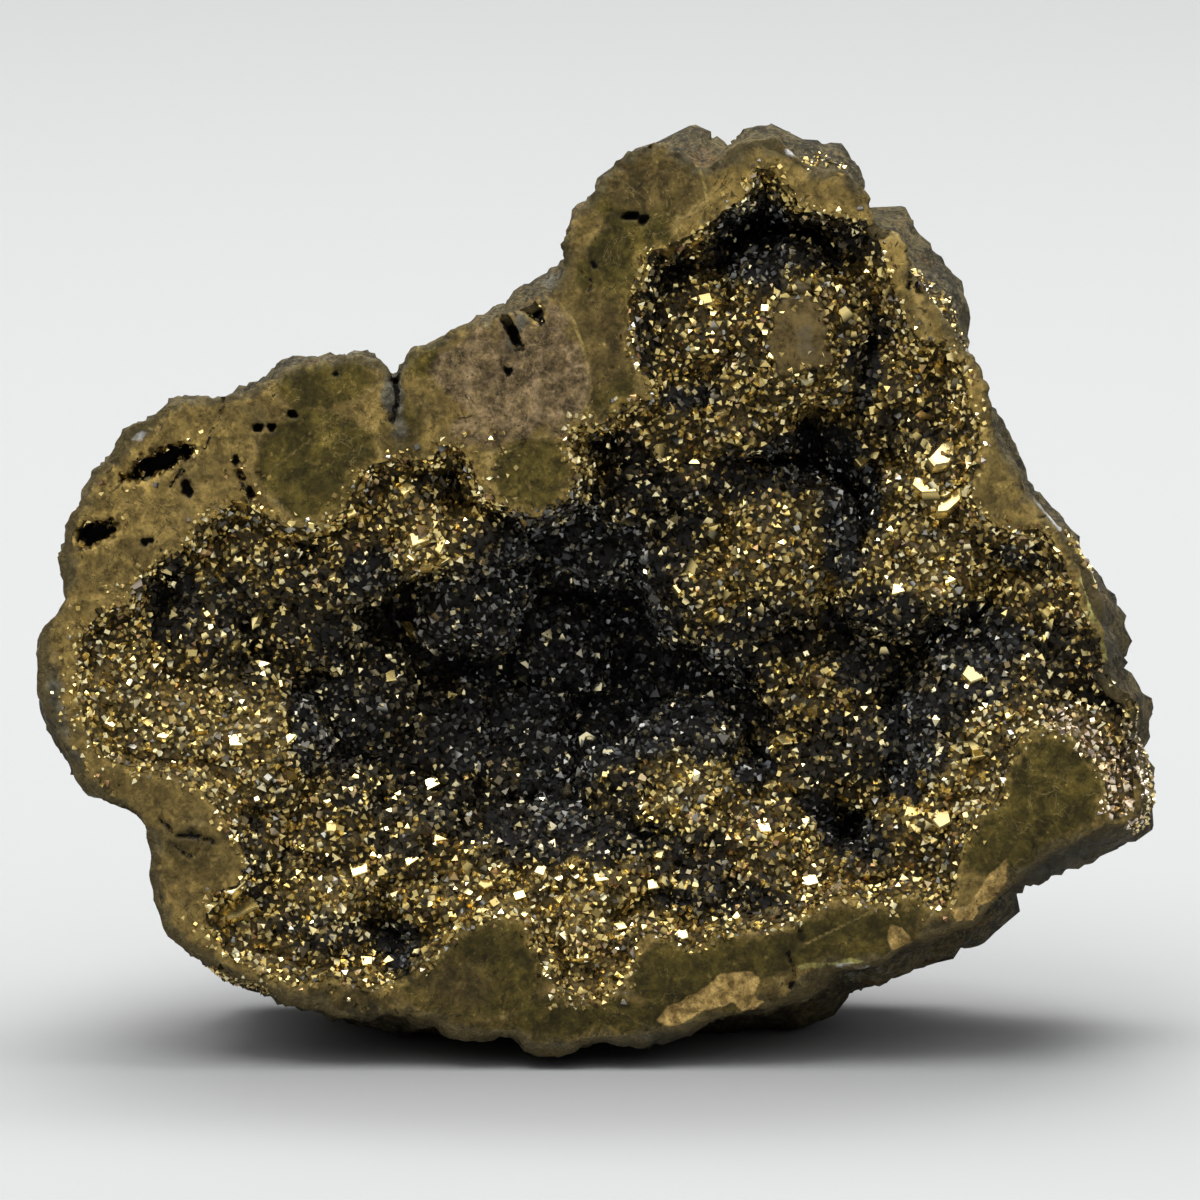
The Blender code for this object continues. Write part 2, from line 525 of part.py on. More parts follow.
def build_crust(edge, rim):
    """The crystal crust: a lining of the hollow whose open side is a field of small flat-faced crystals."""
    rng = np.random.default_rng(RANDOM_SEED)
    grid, middles = lattice(rim, CRYSTAL_STEP)
    keep = distance_inside(grid, rim)[0] > CRYSTAL_RIM_GAP
    for x, y, size, _, _ in TALL_CRYSTALS:
        keep &= np.linalg.norm(grid - face_point(x, y), axis=1) > 0.5 * size + CRYSTAL_LEAN
    grid, middles = grid[keep], middles[keep]
    grid = grid + rng.uniform(-CRYSTAL_JITTER, CRYSTAL_JITTER, grid.shape)
    height = np.where(middles, rng.uniform(*CRYSTAL_HEIGHT, len(grid)), 0.0)
    sawn = np.array(face_point(*SAWN_TOP[:2]))
    on_sawn = np.linalg.norm((grid - sawn) / (np.array(SAWN_TOP[2:]) * SCALE), axis=1) < 1
    flat = [rim, grid]
    heights = [np.zeros(len(rim)), height]
    feet = []
    at = len(rim) + len(grid)
    for x, y, size, sides, turn in TALL_CRYSTALS:
        foot = crystal_base(x, y, size, sides, turn)
        flat.append(np.array(foot + [face_point(x, y)]))
        heights.append(np.array([0.0] * sides + [TALLNESS * size]))
        feet.append(list(range(at, at + sides)))
        at += sides + 1
    flat = np.vstack(flat)
    faces = triangulate(flat, [list(range(len(rim)))] + feet)
    faces = faces[distance_inside(flat[faces].mean(1), rim)[0] > 0]

    back, back_faces = crust_back(rim, edge)
    depth = np.minimum(hollow_depth(flat, rim, edge), depth_under(flat, back, back_faces) - THINNEST_CRUST)
    depth[: len(rim)] = 0
    depth[len(rim) : len(rim) + len(grid)][on_sawn] = 0
    front = np.column_stack([flat, depth])
    towards = -vertex_normals(front, faces)
    rise = np.minimum(np.concatenate(heights), CRYSTAL_SHARE_OF_DEPTH * depth)
    move = towards * rise[:, None]
    move[:, :2] = move[:, :2].clip(-CRYSTAL_LEAN, CRYSTAL_LEAN)
    front += move
    front[:, 2] = front[:, 2].clip(0)

    side = wall_between(0, len(front), len(rim))[:, ::-1]
    material = add_material("druse", (0.42, 0.30, 0.09), 0.3, 0.9)
    every_face = np.vstack([faces, back_faces[:, ::-1] + len(front), side])
    return add_object("crystal_crust", np.vstack([front, back]), every_face, material)


def main():
    for obj in list(bpy.data.objects):
        bpy.data.objects.remove(obj)
    edge = smooth_loop([(*face_point(x, y), out * SCALE) for x, y, out in CUT_EDGE], OUTLINE_POINTS)
    rim = smooth_loop([face_point(x, y) for x, y in HOLLOW_RIM], RIM_POINTS)
    rim = keep_inside(rim, edge, LEAST_BAND)
    build_stone(edge, rim)
    build_crust(edge, rim)


main()
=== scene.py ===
"""The looks of half a natural geode with a golden chalcopyrite druse in its hollow.

The shape is worked out in the plane of the sawn face, in millimetres, as in the solid: u runs right,
v runs up the face and w runs straight into the stone. Outlines are pixels of the 1200 pixel photograph.
"""

import math

import bpy
import numpy as np
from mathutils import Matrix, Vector, kdtree, noise
from mathutils.geometry import delaunay_2d_cdt


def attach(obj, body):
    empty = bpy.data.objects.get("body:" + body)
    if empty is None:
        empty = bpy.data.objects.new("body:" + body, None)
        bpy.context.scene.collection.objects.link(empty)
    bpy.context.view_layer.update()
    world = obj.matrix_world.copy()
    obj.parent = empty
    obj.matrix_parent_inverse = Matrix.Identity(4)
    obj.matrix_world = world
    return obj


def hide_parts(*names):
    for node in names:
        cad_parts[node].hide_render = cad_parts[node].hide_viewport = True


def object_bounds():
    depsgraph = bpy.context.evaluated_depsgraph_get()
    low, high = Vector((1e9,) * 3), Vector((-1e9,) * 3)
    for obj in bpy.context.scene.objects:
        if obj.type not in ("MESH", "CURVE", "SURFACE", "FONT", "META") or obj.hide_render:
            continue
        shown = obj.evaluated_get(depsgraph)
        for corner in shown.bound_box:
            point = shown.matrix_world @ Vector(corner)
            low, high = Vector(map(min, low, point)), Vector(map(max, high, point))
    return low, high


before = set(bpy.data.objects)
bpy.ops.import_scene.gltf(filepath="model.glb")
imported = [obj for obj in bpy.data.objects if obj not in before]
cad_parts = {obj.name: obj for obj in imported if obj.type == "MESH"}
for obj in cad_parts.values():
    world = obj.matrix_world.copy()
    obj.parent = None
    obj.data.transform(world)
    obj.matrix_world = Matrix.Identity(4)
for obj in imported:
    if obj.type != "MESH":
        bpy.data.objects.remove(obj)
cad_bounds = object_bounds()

# The solid's dimensions in millimetres, and the powers and shares that shape it
WIDTH = 72.0
STONE_DEPTH = 30.0
LEAN = math.radians(8.0)
EDGE_LIFT = 1.7
CRUST = 1.5
LEAST_WALL = 2.6
LEAST_BAND = 0.95
FACE_X = 0.16
FACE_Y = -16.82

# Where the specimen's left and right ends, the model's middle and the table are in the photograph
LEFT_PX = 45
RIGHT_PX = 1156
MIDDLE_PX = 600
FOOT_PX = 1046
SCALE = WIDTH / (RIGHT_PX - LEFT_PX)

# The rounded back behind the face, and the rind's relief on it
BACK_POLE = (590, 720)
BACK_POWER = 0.72
ROUNDING_REACH = 0.5
SHOULDER_POWER = 0.35
STAND_GAIN = 1.1
FULL_STAND = 1.0
SHOULDER_DENT = 0.3
KNOB_SIZE = 6.5
KNOB_RISE = 2.4
SWELL_SIZE = 11.0
SWELL_RISE = 1.1
GRAIN_SIZE = 2.9
GRAIN_RISE = 0.4
EDGE_RELIEF = 0.3
INNER_RELIEF = 6.0
DEEPEST_DENT = 4.8

# Where the rind keeps close behind the sawn edge, as an ellipse, and how far it may rise there
TIGHT_RIND = [(1020, 475, 92, 50, -60)]
TIGHT_RISE = 0.1

# The worn edge's depth behind the sawn face, and the least depth of the rind's other points
EDGE_WEAR = 0.12
RIND_LEAST = 0.06

# Edge of the sawn face, clockwise from the left, each point with how far the rind stands out past it
CUT_EDGE = [
    (50, 640, 5), (58, 618, 5), (66, 600, 4), (68, 580, 14), (72, 558, 6), (76, 530, 4),
    (84, 505, 3), (98, 478, 3), (120, 455, 4), (132, 438, 5), (155, 425, 3), (178, 406, 3),
    (205, 396, 4), (228, 395, 4), (262, 380, 3), (290, 364, 4), (320, 357, 5), (350, 354, 5),
    (372, 358, 5), (385, 368, 5), (394, 378, 6), (404, 366, 8), (412, 352, 10), (440, 338, 8),
    (465, 325, 7), (490, 320, 6), (505, 312, 10), (522, 303, 12), (548, 290, 12), (562, 270, 8),
    (560, 245, 7), (568, 222, 8), (584, 200, 7), (600, 177, 7), (615, 158, 7), (640, 146, 5),
    (665, 142, 5), (684, 152, 8), (703, 166, 26), (725, 160, 30), (742, 150, 34), (765, 150, 26),
    (785, 160, 20), (808, 170, 22), (830, 172, 20), (850, 178, 13), (865, 192, 9), (873, 210, 4),
    (884, 226, 3), (902, 232, 4), (912, 258, 11), (925, 285, 18), (942, 305, 20), (955, 325, 16),
    (968, 345, 10), (982, 365, 6), (994, 390, 4), (996, 420, 3), (1003, 442, 3), (1015, 465, 3),
    (1026, 490, 3), (1042, 510, 4), (1058, 530, 5), (1072, 552, 7), (1080, 575, 14),
    (1088, 600, 16), (1100, 625, 16), (1110, 650, 12), (1118, 675, 9), (1135, 695, 6),
    (1142, 725, 7), (1141, 755, 7), (1143, 785, 8), (1142, 810, 5), (1128, 825, 12),
    (1108, 830, 22), (1088, 838, 24), (1060, 850, 24), (1035, 862, 24), (1015, 878, 14),
    (1000, 895, 7), (975, 915, 14), (950, 925, 18), (925, 935, 22), (900, 948, 26), (870, 958, 26),
    (835, 968, 30), (812, 985, 30), (790, 995, 28), (765, 1008, 24), (740, 1018, 20),
    (710, 1022, 20), (680, 1026, 20), (650, 1032, 18), (620, 1036, 18), (590, 1036, 18),
    (565, 1040, 18), (540, 1040, 18), (510, 1030, 20), (470, 1028, 20), (430, 1024, 20),
    (395, 1022, 18), (360, 1018, 18), (325, 1003, 14), (290, 992, 14), (255, 980, 10),
    (225, 966, 8), (200, 948, 6), (178, 930, 6), (165, 905, 5), (158, 875, 4), (156, 848, 4),
    (148, 828, 5), (128, 812, 4), (104, 800, 4), (85, 780, 5), (68, 755, 5), (56, 732, 5),
    (49, 705, 5), (47, 670, 5),
]

# Rim of the hollow, where the sawn face ends and the crystals begin, clockwise from the left
HOLLOW_RIM = [
    (80, 645), (88, 625), (108, 612), (132, 600), (142, 578), (160, 562), (184, 552), (198, 528),
    (222, 512), (250, 504), (272, 520), (300, 528), (328, 522), (346, 506), (356, 484), (372, 465),
    (400, 460), (424, 460), (446, 446), (464, 452), (474, 470), (484, 492), (506, 508), (530, 517),
    (556, 507), (574, 488), (576, 466), (566, 446), (578, 428), (604, 424), (630, 408), (654, 396),
    (648, 374), (636, 352), (629, 325), (632, 300), (646, 278), (652, 256), (676, 240), (704, 226),
    (728, 208), (748, 194), (755, 174), (770, 170), (784, 188), (800, 204), (826, 216), (852, 218),
    (874, 234), (886, 262), (892, 290), (904, 312), (920, 340), (946, 350), (962, 372), (968, 400),
    (978, 428), (978, 460), (972, 492), (986, 518), (1014, 530), (1040, 530), (1056, 548),
    (1068, 574), (1078, 600), (1094, 628), (1104, 655), (1114, 680), (1130, 704), (1134, 735),
    (1134, 770), (1136, 800), (1120, 820), (1108, 812), (1106, 785), (1096, 762), (1078, 740),
    (1052, 726), (1030, 728), (1014, 748), (1006, 775), (1000, 800), (976, 814), (964, 842),
    (960, 872), (950, 898), (930, 904), (905, 893), (880, 902), (850, 897), (824, 900), (800, 916),
    (770, 926), (740, 931), (712, 936), (690, 948), (668, 938), (648, 932), (634, 948), (628, 972),
    (612, 992), (586, 998), (562, 992), (546, 972), (534, 948), (522, 922), (496, 916), (468, 924),
    (446, 944), (424, 960), (410, 974), (384, 984), (350, 982), (322, 976), (296, 986), (266, 980),
    (240, 966), (220, 944), (206, 920), (214, 896), (238, 884), (246, 860), (236, 838), (222, 818),
    (206, 798), (184, 780), (156, 772), (120, 766), (96, 748), (84, 720), (80, 690), (78, 665),
]

# The hollow's floor: basins as (x, y, radius) in pixels and the depth that each adds in millimetres
FLOOR_DEPTH = 3.6
WALL_REACH = 1.5
BASINS = [
    (585, 600, 170, 8.5), (480, 690, 150, 4.5), (700, 690, 120, 4.0), (775, 242, 62, 9.0),
    (672, 272, 26, 2.5), (868, 352, 26, 4.0), (852, 392, 24, 3.0), (702, 396, 28, 3.0),
    (800, 462, 58, 6.0), (852, 500, 32, 6.0), (845, 548, 30, 6.0), (900, 640, 75, 5.0),
    (975, 655, 38, 4.5), (1030, 562, 34, 3.0), (908, 750, 40, 6.5), (757, 772, 28, 6.0),
    (835, 822, 30, 5.0), (868, 845, 28, 5.0), (392, 947, 28, 3.5), (165, 595, 40, 2.0),
    (555, 825, 60, 4.0), (1108, 702, 26, 2.0), (375, 592, 36, 2.5), (612, 452, 30, 1.5),
    (340, 660, 90, 2.0),
]

# Rounded lumps that rise from that floor: (x, y, radius) in pixels and the depth of the top in millimetres
LUMPS = [
    (795, 335, 70, 0.1), (700, 335, 55, 1.2), (735, 410, 45, 2.0), (655, 425, 35, 1.6),
    (905, 385, 48, 2.2), (935, 425, 40, 2.0), (945, 475, 42, 1.2), (930, 560, 68, 1.6),
    (870, 585, 36, 2.5), (785, 545, 62, 1.8), (700, 595, 46, 3.0), (740, 620, 36, 3.6),
    (1060, 610, 46, 1.6), (1040, 660, 40, 2.4), (1030, 540, 30, 1.2), (1010, 730, 85, 0.4),
    (960, 775, 50, 1.6), (830, 700, 48, 5.0), (860, 760, 46, 4.2), (690, 800, 66, 3.2),
    (625, 800, 40, 4.0), (760, 850, 60, 3.0), (665, 870, 45, 3.0), (590, 890, 62, 1.8),
    (540, 880, 40, 2.0), (480, 880, 52, 1.8), (600, 960, 45, 0.8), (410, 850, 60, 3.0),
    (330, 830, 60, 2.6), (290, 900, 46, 2.0), (340, 900, 40, 2.4), (250, 800, 48, 2.0),
    (245, 740, 60, 0.8), (160, 725, 66, 0.5), (110, 700, 40, 0.6), (255, 950, 42, 0.8),
    (320, 955, 36, 1.0), (440, 920, 40, 1.4), (120, 650, 46, 0.8), (195, 640, 50, 1.6),
    (210, 590, 40, 1.8), (270, 560, 46, 1.2), (340, 560, 46, 1.2), (300, 620, 50, 2.4),
    (430, 545, 34, 0.8), (400, 505, 44, 1.0), (475, 540, 34, 1.8), (350, 700, 50, 5.0),
    (520, 740, 48, 9.5), (770, 655, 44, 6.0), (560, 660, 50, 11.0), (470, 610, 42, 5.5),
    (620, 520, 60, 7.0), (640, 480, 40, 3.5), (700, 470, 45, 3.2), (690, 530, 45, 5.0),
    (860, 660, 40, 6.5), (430, 760, 55, 6.5), (520, 800, 50, 7.0), (820, 780, 35, 5.0),
    (900, 880, 40, 1.8), (850, 885, 36, 1.6), (920, 830, 40, 1.6), (780, 900, 40, 1.8),
    (715, 905, 40, 2.4), (1100, 740, 40, 0.6), (1115, 790, 34, 0.5), (1080, 650, 36, 1.6),
]

# How wide a lump's foot is, how softly it meets the floor, and how steep its skirt is
LUMP_SPREAD = 1.25
LUMP_BLEND = 0.35
LUMP_FLARE = 30

# The sawn top of one lump, as an ellipse: (x, y, half width, half height) in pixels
SAWN_TOP = (800, 334, 33, 40)

# Small open vugs in the sawn face: (x, y, half length, half width) in pixels, tilt in degrees, depth in mm
VUGS = [
    (158, 463, 38, 12, 26, 3.0), (97, 531, 20, 12, 20, 2.6), (630, 216, 9, 4, 5, 1.2),
    (644, 220, 5, 4, 30, 1.0), (258, 428, 5, 4, 0, 1.2), (272, 428, 5, 4, 0, 1.2),
    (292, 414, 5, 4, 20, 1.0), (186, 488, 5, 9, 20, 1.0), (146, 541, 8, 3, 20, 0.7),
    (236, 458, 3, 6, 0, 0.8), (242, 476, 3, 6, 20, 0.8), (250, 492, 4, 7, 20, 1.0),
    (118, 755, 9, 6, 20, 1.0), (395, 372, 5, 14, 10, 1.2), (336, 374, 4, 3, 0, 0.6),
    (513, 332, 4, 17, 24, 1.6), (532, 309, 6, 12, 35, 1.6), (508, 372, 4, 4, 0, 0.6),
    (594, 264, 3, 4, 0, 0.6),
]

# Dark parts of the druse, partly black tarnish and partly painted shade in its deep places, as ellipses:
# (x, y, half width, half height) in pixels, tilt in degrees and how dark
SHADES = [
    (172, 600, 30, 52, 0, 0.85), (236, 606, 26, 26, 0, 0.7), (252, 652, 52, 32, 0, 0.6),
    (395, 680, 105, 105, 0, 0.85), (375, 575, 34, 22, 0, 0.95), (302, 600, 42, 50, 0, 0.55),
    (560, 650, 135, 150, 0, 1.0), (560, 545, 72, 46, 0, 0.95), (430, 622, 60, 42, 0, 0.95),
    (308, 735, 18, 52, 12, 0.95), (348, 728, 50, 54, 0, 0.93), (450, 790, 70, 40, 0, 0.85),
    (480, 742, 66, 44, 0, 0.95), (372, 800, 46, 26, 0, 0.65), (400, 852, 50, 16, 0, 0.5),
    (540, 832, 60, 38, 0, 0.9), (272, 800, 24, 18, 0, 0.4), (255, 862, 14, 60, 0, 0.5),
    (396, 950, 26, 28, 0, 1.0), (335, 934, 62, 20, 0, 0.7), (470, 832, 24, 22, 0, 0.7),
    (435, 485, 22, 15, 0, 0.6), (330, 862, 60, 14, 0, 0.4), (757, 242, 48, 54, 0, 1.0),
    (820, 240, 50, 30, 0, 0.85), (862, 236, 34, 24, 0, 0.6), (672, 276, 32, 22, 20, 0.8),
    (650, 330, 14, 50, 0, 0.65), (690, 396, 32, 13, 0, 0.9), (864, 372, 17, 46, 0, 0.9),
    (885, 330, 20, 20, 0, 0.75), (910, 432, 40, 28, 0, 0.5), (812, 456, 62, 34, 0, 1.0),
    (740, 480, 36, 24, 0, 0.8), (850, 502, 34, 50, 0, 1.0), (844, 552, 20, 30, 0, 1.0),
    (620, 450, 30, 20, 0, 0.75), (642, 522, 72, 58, 0, 0.8), (612, 600, 50, 100, 0, 1.0),
    (680, 690, 95, 60, 0, 1.0), (620, 722, 62, 50, 0, 1.0), (705, 730, 82, 28, 10, 0.95),
    (770, 632, 52, 28, 0, 0.85), (880, 645, 62, 62, 0, 0.88), (970, 637, 54, 40, 0, 0.97),
    (980, 684, 40, 28, 0, 0.9), (910, 742, 36, 64, 0, 1.0), (938, 696, 32, 40, 0, 0.88),
    (850, 752, 60, 48, 0, 0.7), (756, 770, 26, 25, 0, 1.0), (842, 830, 52, 24, -35, 1.0),
    (1025, 561, 38, 11, 0, 0.9), (1070, 662, 48, 46, 0, 0.6), (1110, 700, 30, 14, 0, 0.85),
    (1122, 762, 14, 30, 0, 0.5), (722, 900, 64, 20, 0, 0.8), (690, 858, 46, 26, 0, 0.7),
    (630, 790, 20, 24, 0, 0.75), (560, 782, 42, 62, 0, 1.0), (590, 836, 74, 28, 0, 0.9),
]

# Brightest parts of the druse, partly cleaner gold and partly painted light, as ellipses: (x, y, half width,
# half height) in pixels and tilt in degrees
BRIGHT_DRUSE = [
    (180, 735, 112, 50, 0), (238, 780, 50, 40, 0), (430, 548, 36, 36, 0), (500, 892, 70, 26, 0),
    (585, 925, 50, 70, 0), (268, 955, 44, 22, 0), (1020, 732, 56, 24, 0), (942, 502, 34, 46, 0),
    (1124, 785, 26, 64, -8), (745, 192, 34, 20, 0), (100, 700, 40, 50, 0), (930, 580, 44, 30, 0),
    (680, 800, 56, 30, 0), (960, 780, 40, 40, 0), (330, 900, 50, 24, 0), (1085, 735, 60, 24, -35),
]

# Single crystals that catch the eye: (x, y, long side, short side) in pixels, sides, turn and lean in
# degrees. A crystal of 2 sides is a wedge with a ridge along it.
LARGE_CRYSTALS = [
    (410, 634, 27, 25, 3, 30, 4), (257, 616, 30, 12, 2, 68, 0), (232, 644, 19, 13, 4, 60, 5),
    (260, 668, 15, 13, 3, 10, 0), (281, 573, 14, 12, 3, 40, 8), (389, 681, 18, 14, 4, 95, 3),
    (943, 457, 34, 20, 6, 58, -4), (950, 500, 36, 17, 6, 56, 0), (925, 488, 26, 17, 5, 140, 4),
    (936, 516, 20, 14, 3, 75, 4), (865, 462, 20, 14, 4, 50, 0), (972, 677, 22, 18, 5, 10, 4),
    (912, 815, 16, 13, 4, 0, 0), (942, 822, 24, 17, 5, 80, 0), (810, 885, 24, 17, 5, 20, 4),
    (682, 938, 17, 14, 5, 0, 0), (640, 818, 21, 19, 3, 20, 6), (950, 582, 17, 15, 3, 0, 4),
    (890, 565, 16, 14, 3, 55, 0), (720, 413, 16, 12, 4, 30, 5), (358, 873, 20, 17, 4, 20, -4),
    (437, 842, 16, 12, 3, 0, 0), (395, 900, 17, 13, 4, 40, 5), (410, 865, 22, 14, 3, 25, 0),
    (365, 965, 14, 12, 4, 10, 5), (388, 966, 14, 11, 4, 60, 5), (232, 888, 26, 20, 4, 50, 2),
    (236, 912, 34, 22, 5, 20, 2), (420, 540, 22, 16, 4, 20, 6), (438, 548, 26, 17, 3, 50, -4),
    (428, 562, 24, 15, 4, 80, 8), (446, 560, 16, 12, 3, 10, 0), (414, 555, 17, 12, 4, 60, -8),
    (165, 735, 20, 12, 4, 60, 0), (112, 722, 16, 13, 5, 20, 3), (235, 742, 18, 14, 4, 0, 0),
    (288, 740, 17, 15, 3, 10, 4), (600, 880, 18, 14, 4, 20, 0), (560, 902, 17, 13, 3, 45, 5),
    (655, 888, 17, 13, 4, 10, 2), (540, 872, 15, 12, 4, 70, 0), (485, 886, 16, 13, 5, 20, 0),
    (620, 930, 16, 13, 4, 35, 0), (583, 958, 17, 14, 4, 0, 4), (708, 612, 16, 13, 3, 15, 0),
    (680, 590, 15, 12, 4, 40, 0), (705, 300, 15, 13, 4, 20, 0), (722, 296, 14, 10, 3, 50, 0),
    (765, 832, 17, 13, 4, 25, 0), (712, 800, 16, 13, 3, 60, 0), (900, 590, 17, 13, 4, 10, 0),
    (925, 618, 16, 12, 3, 30, 0), (1050, 612, 15, 12, 4, 50, 0), (1010, 715, 16, 13, 3, 0, 0),
    (980, 755, 15, 12, 4, 20, 0), (430, 790, 18, 15, 4, 30, 4), (450, 702, 13, 11, 3, 0, 0),
    (330, 830, 16, 12, 4, 0, 0), (300, 850, 15, 12, 3, 60, 0), (1135, 805, 15, 12, 4, 0, 0),
    (1120, 740, 14, 12, 3, 30, 0), (790, 745, 20, 16, 5, 0, 0), (455, 500, 15, 12, 3, 20, 0),
    (405, 490, 17, 13, 4, 45, 0), (330, 545, 15, 12, 3, 0, 0), (350, 512, 14, 12, 4, 30, 0),
]

# Marks on the sawn face, as ellipses: (x, y, half width, half height) in pixels and tilt in degrees
OLIVE_LOBES = [
    (330, 385, 55, 26, 15), (318, 462, 62, 58, 0), (404, 432, 26, 36, 0), (531, 470, 42, 40, 0),
    (645, 190, 62, 48, 20), (622, 262, 60, 42, 30), (612, 330, 40, 60, 10), (610, 385, 30, 40, 20),
    (1052, 782, 54, 62, -10), (1000, 842, 56, 36, 20), (700, 972, 72, 44, 8), (860, 930, 72, 30, 15),
    (790, 950, 60, 24, 12), (495, 965, 55, 55, -10), (455, 985, 60, 36, 0), (560, 1015, 60, 22, 0),
    (352, 1000, 40, 20, -20), (190, 852, 28, 22, 0), (900, 316, 20, 34, 20), (590, 1018, 110, 18, 2),
    (425, 350, 26, 28, 0), (640, 290, 46, 70, 10),
]
BROWN_PATCHES = [
    (650, 178, 62, 36, 15), (700, 205, 36, 44, 0), (600, 340, 40, 60, 10), (352, 1000, 44, 22, -20),
    (455, 985, 50, 30, 0), (190, 852, 30, 24, 0), (404, 440, 26, 30, 0), (905, 320, 26, 40, 20),
]
PINK_PATCHES = [
    (480, 375, 48, 50, 0), (545, 385, 52, 55, 0), (510, 425, 60, 26, 0), (530, 335, 40, 34, 30),
]
PALE_OCHRE = [(1004, 445, 34, 100, 25), (90, 640, 30, 70, 0)]
GREY_PATCHES = [
    (56, 712, 12, 56, 4), (66, 765, 18, 20, 0), (515, 333, 7, 26, -28), (531, 310, 9, 20, -40),
    (394, 395, 12, 32, 5), (400, 425, 8, 18, 0),
]

# Dark grey-green parts of the rind, and a dark band along its bottom as painted shade under the stone
DARK_RIND = [
    (1108, 640, 18, 52, -20), (1066, 866, 60, 24, 18), (395, 385, 16, 30, 0), (700, 1045, 200, 14, 0),
]

# Parts of the rind, near the sawn face, that bear crystals
GOLD_RIND = [
    (936, 290, 26, 60, 20), (1072, 560, 22, 40, 30), (1140, 770, 22, 80, 0), (975, 355, 14, 34, 25),
    (240, 985, 60, 14, -20), (830, 160, 40, 10, 0),
]
GOLD_RIND_DEPTH = 3.5

# Parts of the sawn face that bear crystals further out from the hollow's rim
GRANULAR = [
    (90, 690, 50, 130, 0), (150, 600, 72, 46, 30), (118, 472, 34, 16, 25), (110, 510, 30, 16, 20),
    (480, 452, 50, 30, 0), (596, 420, 40, 20, 20), (745, 190, 26, 22, 0), (1075, 545, 30, 30, 0),
    (290, 995, 90, 24, -15), (930, 908, 70, 16, 0), (590, 985, 56, 34, 0), (246, 478, 20, 34, 20),
    (1110, 830, 40, 20, 20), (960, 360, 20, 60, 20), (1134, 765, 22, 76, -4), (212, 945, 44, 16, -38),
    (305, 988, 70, 14, -14), (1000, 905, 50, 12, 25),
]

# Parts of the druse whose crystals are pale, and pinkish rather than gold
PALE_DRUSE = [(1124, 785, 26, 60, -8), (1085, 738, 46, 20, -35)]

# White chips as ellipses, and white and sulphur yellow seams as lines in pixels with half widths in mm
WHITE_CHIPS = [
    (140, 436, 10, 5, 30), (60, 530, 4, 14, 0), (789, 153, 6, 3, -30), (822, 151, 5, 3, 0),
]
WHITE_SEAMS = [
    ([(1036, 499), (1046, 511), (1060, 529)], 0.16), ([(1000, 426), (1006, 446), (1018, 466)], 0.05),
    ([(838, 966), (868, 968)], 0.12),
]
SULPHUR = [
    ([(1082, 580), (1092, 600), (1090, 616), (1102, 632), (1104, 652), (1114, 668), (1116, 692)], 0.22),
    ([(1034, 729), (1054, 728), (1080, 744), (1097, 766), (1106, 792)], 0.07),
    ([(956, 872), (962, 846), (974, 826)], 0.14), ([(800, 968), (850, 962), (880, 966)], 0.16),
]

# Bright ochre chips, as outlines in pixels
CHIPS = [
    [(655, 1022), (672, 1006), (700, 992), (722, 975), (748, 970), (762, 980), (756, 996), (768, 1004),
     (744, 1012), (732, 1002), (706, 1012), (676, 1028)],
    [(1012, 852), (1008, 880), (998, 898), (980, 908), (966, 912), (978, 892), (990, 872)],
    [(950, 910), (974, 906), (990, 916), (978, 930), (958, 926)],
    [(888, 924), (902, 926), (914, 944), (906, 962), (896, 958), (886, 940)],
    [(746, 188), (760, 186), (764, 200), (752, 206), (742, 198)],
    [(838, 168), (850, 162), (852, 172), (838, 176)],
]

# Cracks and dark seams in the sawn face, as lines in pixels with a half width in millimetres
CRACKS = [
    ([(224, 402), (220, 418), (208, 438), (205, 452)], 0.10), ([(394, 378), (398, 400), (392, 420)], 0.22),
    ([(905, 236), (912, 262), (908, 290)], 0.16), ([(912, 262), (918, 292), (914, 300)], 0.10),
    ([(505, 320), (514, 336), (520, 348)], 0.35), ([(524, 300), (534, 314), (542, 322)], 0.30),
    ([(236, 470), (244, 488), (252, 502)], 0.12), ([(160, 820), (176, 836), (196, 836), (214, 842)], 0.14),
    ([(174, 846), (190, 858), (202, 846), (192, 832)], 0.10), ([(578, 268), (592, 282), (588, 296)], 0.08),
    ([(500, 362), (508, 372), (504, 380)], 0.12), ([(788, 952), (796, 974), (790, 990)], 0.16),
    ([(170, 486), (178, 476), (184, 470)], 0.16), ([(268, 405), (276, 392)], 0.10),
]

# Saw scratches and pale veins on the face, likewise
SCRATCHES = [
    ([(262, 478), (348, 412)], 0.05), ([(268, 470), (342, 416)], 0.04), ([(276, 482), (352, 428)], 0.04),
    ([(300, 440), (338, 412)], 0.06), ([(310, 474), (372, 440)], 0.03), ([(805, 945), (884, 906)], 0.10),
    ([(330, 470), (352, 488)], 0.05), ([(455, 968), (508, 930)], 0.05), ([(462, 976), (520, 940)], 0.04),
    ([(470, 990), (540, 940)], 0.03), ([(1030, 790), (1060, 800)], 0.04), ([(700, 196), (690, 232)], 0.04),
    ([(450, 415), (478, 400), (504, 412)], 0.05), ([(556, 300), (574, 322), (584, 350)], 0.12),
    ([(584, 350), (592, 390), (580, 420)], 0.10), ([(690, 150), (704, 182), (708, 206)], 0.12),
]

# Points round the face's edge and the hollow's rim
OUTLINE_POINTS = 820
RIM_POINTS = 760

# Steps of the visual meshes, in millimetres, and the rind's rows behind the edge
FACE_STEP = 0.26
BASE_STEP = 0.38
RIND_STEP = 0.48
RIND_LOOPS = (
    0.02, 0.05, 0.1, 0.17, 0.25, 0.35, 0.5, 0.65, 0.85, 1.05, 1.3, 1.55, 1.85, 2.2, 2.6, 3.0, 3.4
)

# The seam round the crust and the gap behind it, in millimetres
SEAM = 0.04
SOCKET_GAP = 0.35

# How the rind's folds are pulled straight
FOLD_ROUNDS = 12
FOLD_LIMIT = 0.45

# How far the hollow's outlines are shifted to look natural, in millimetres
WARP = 1.5

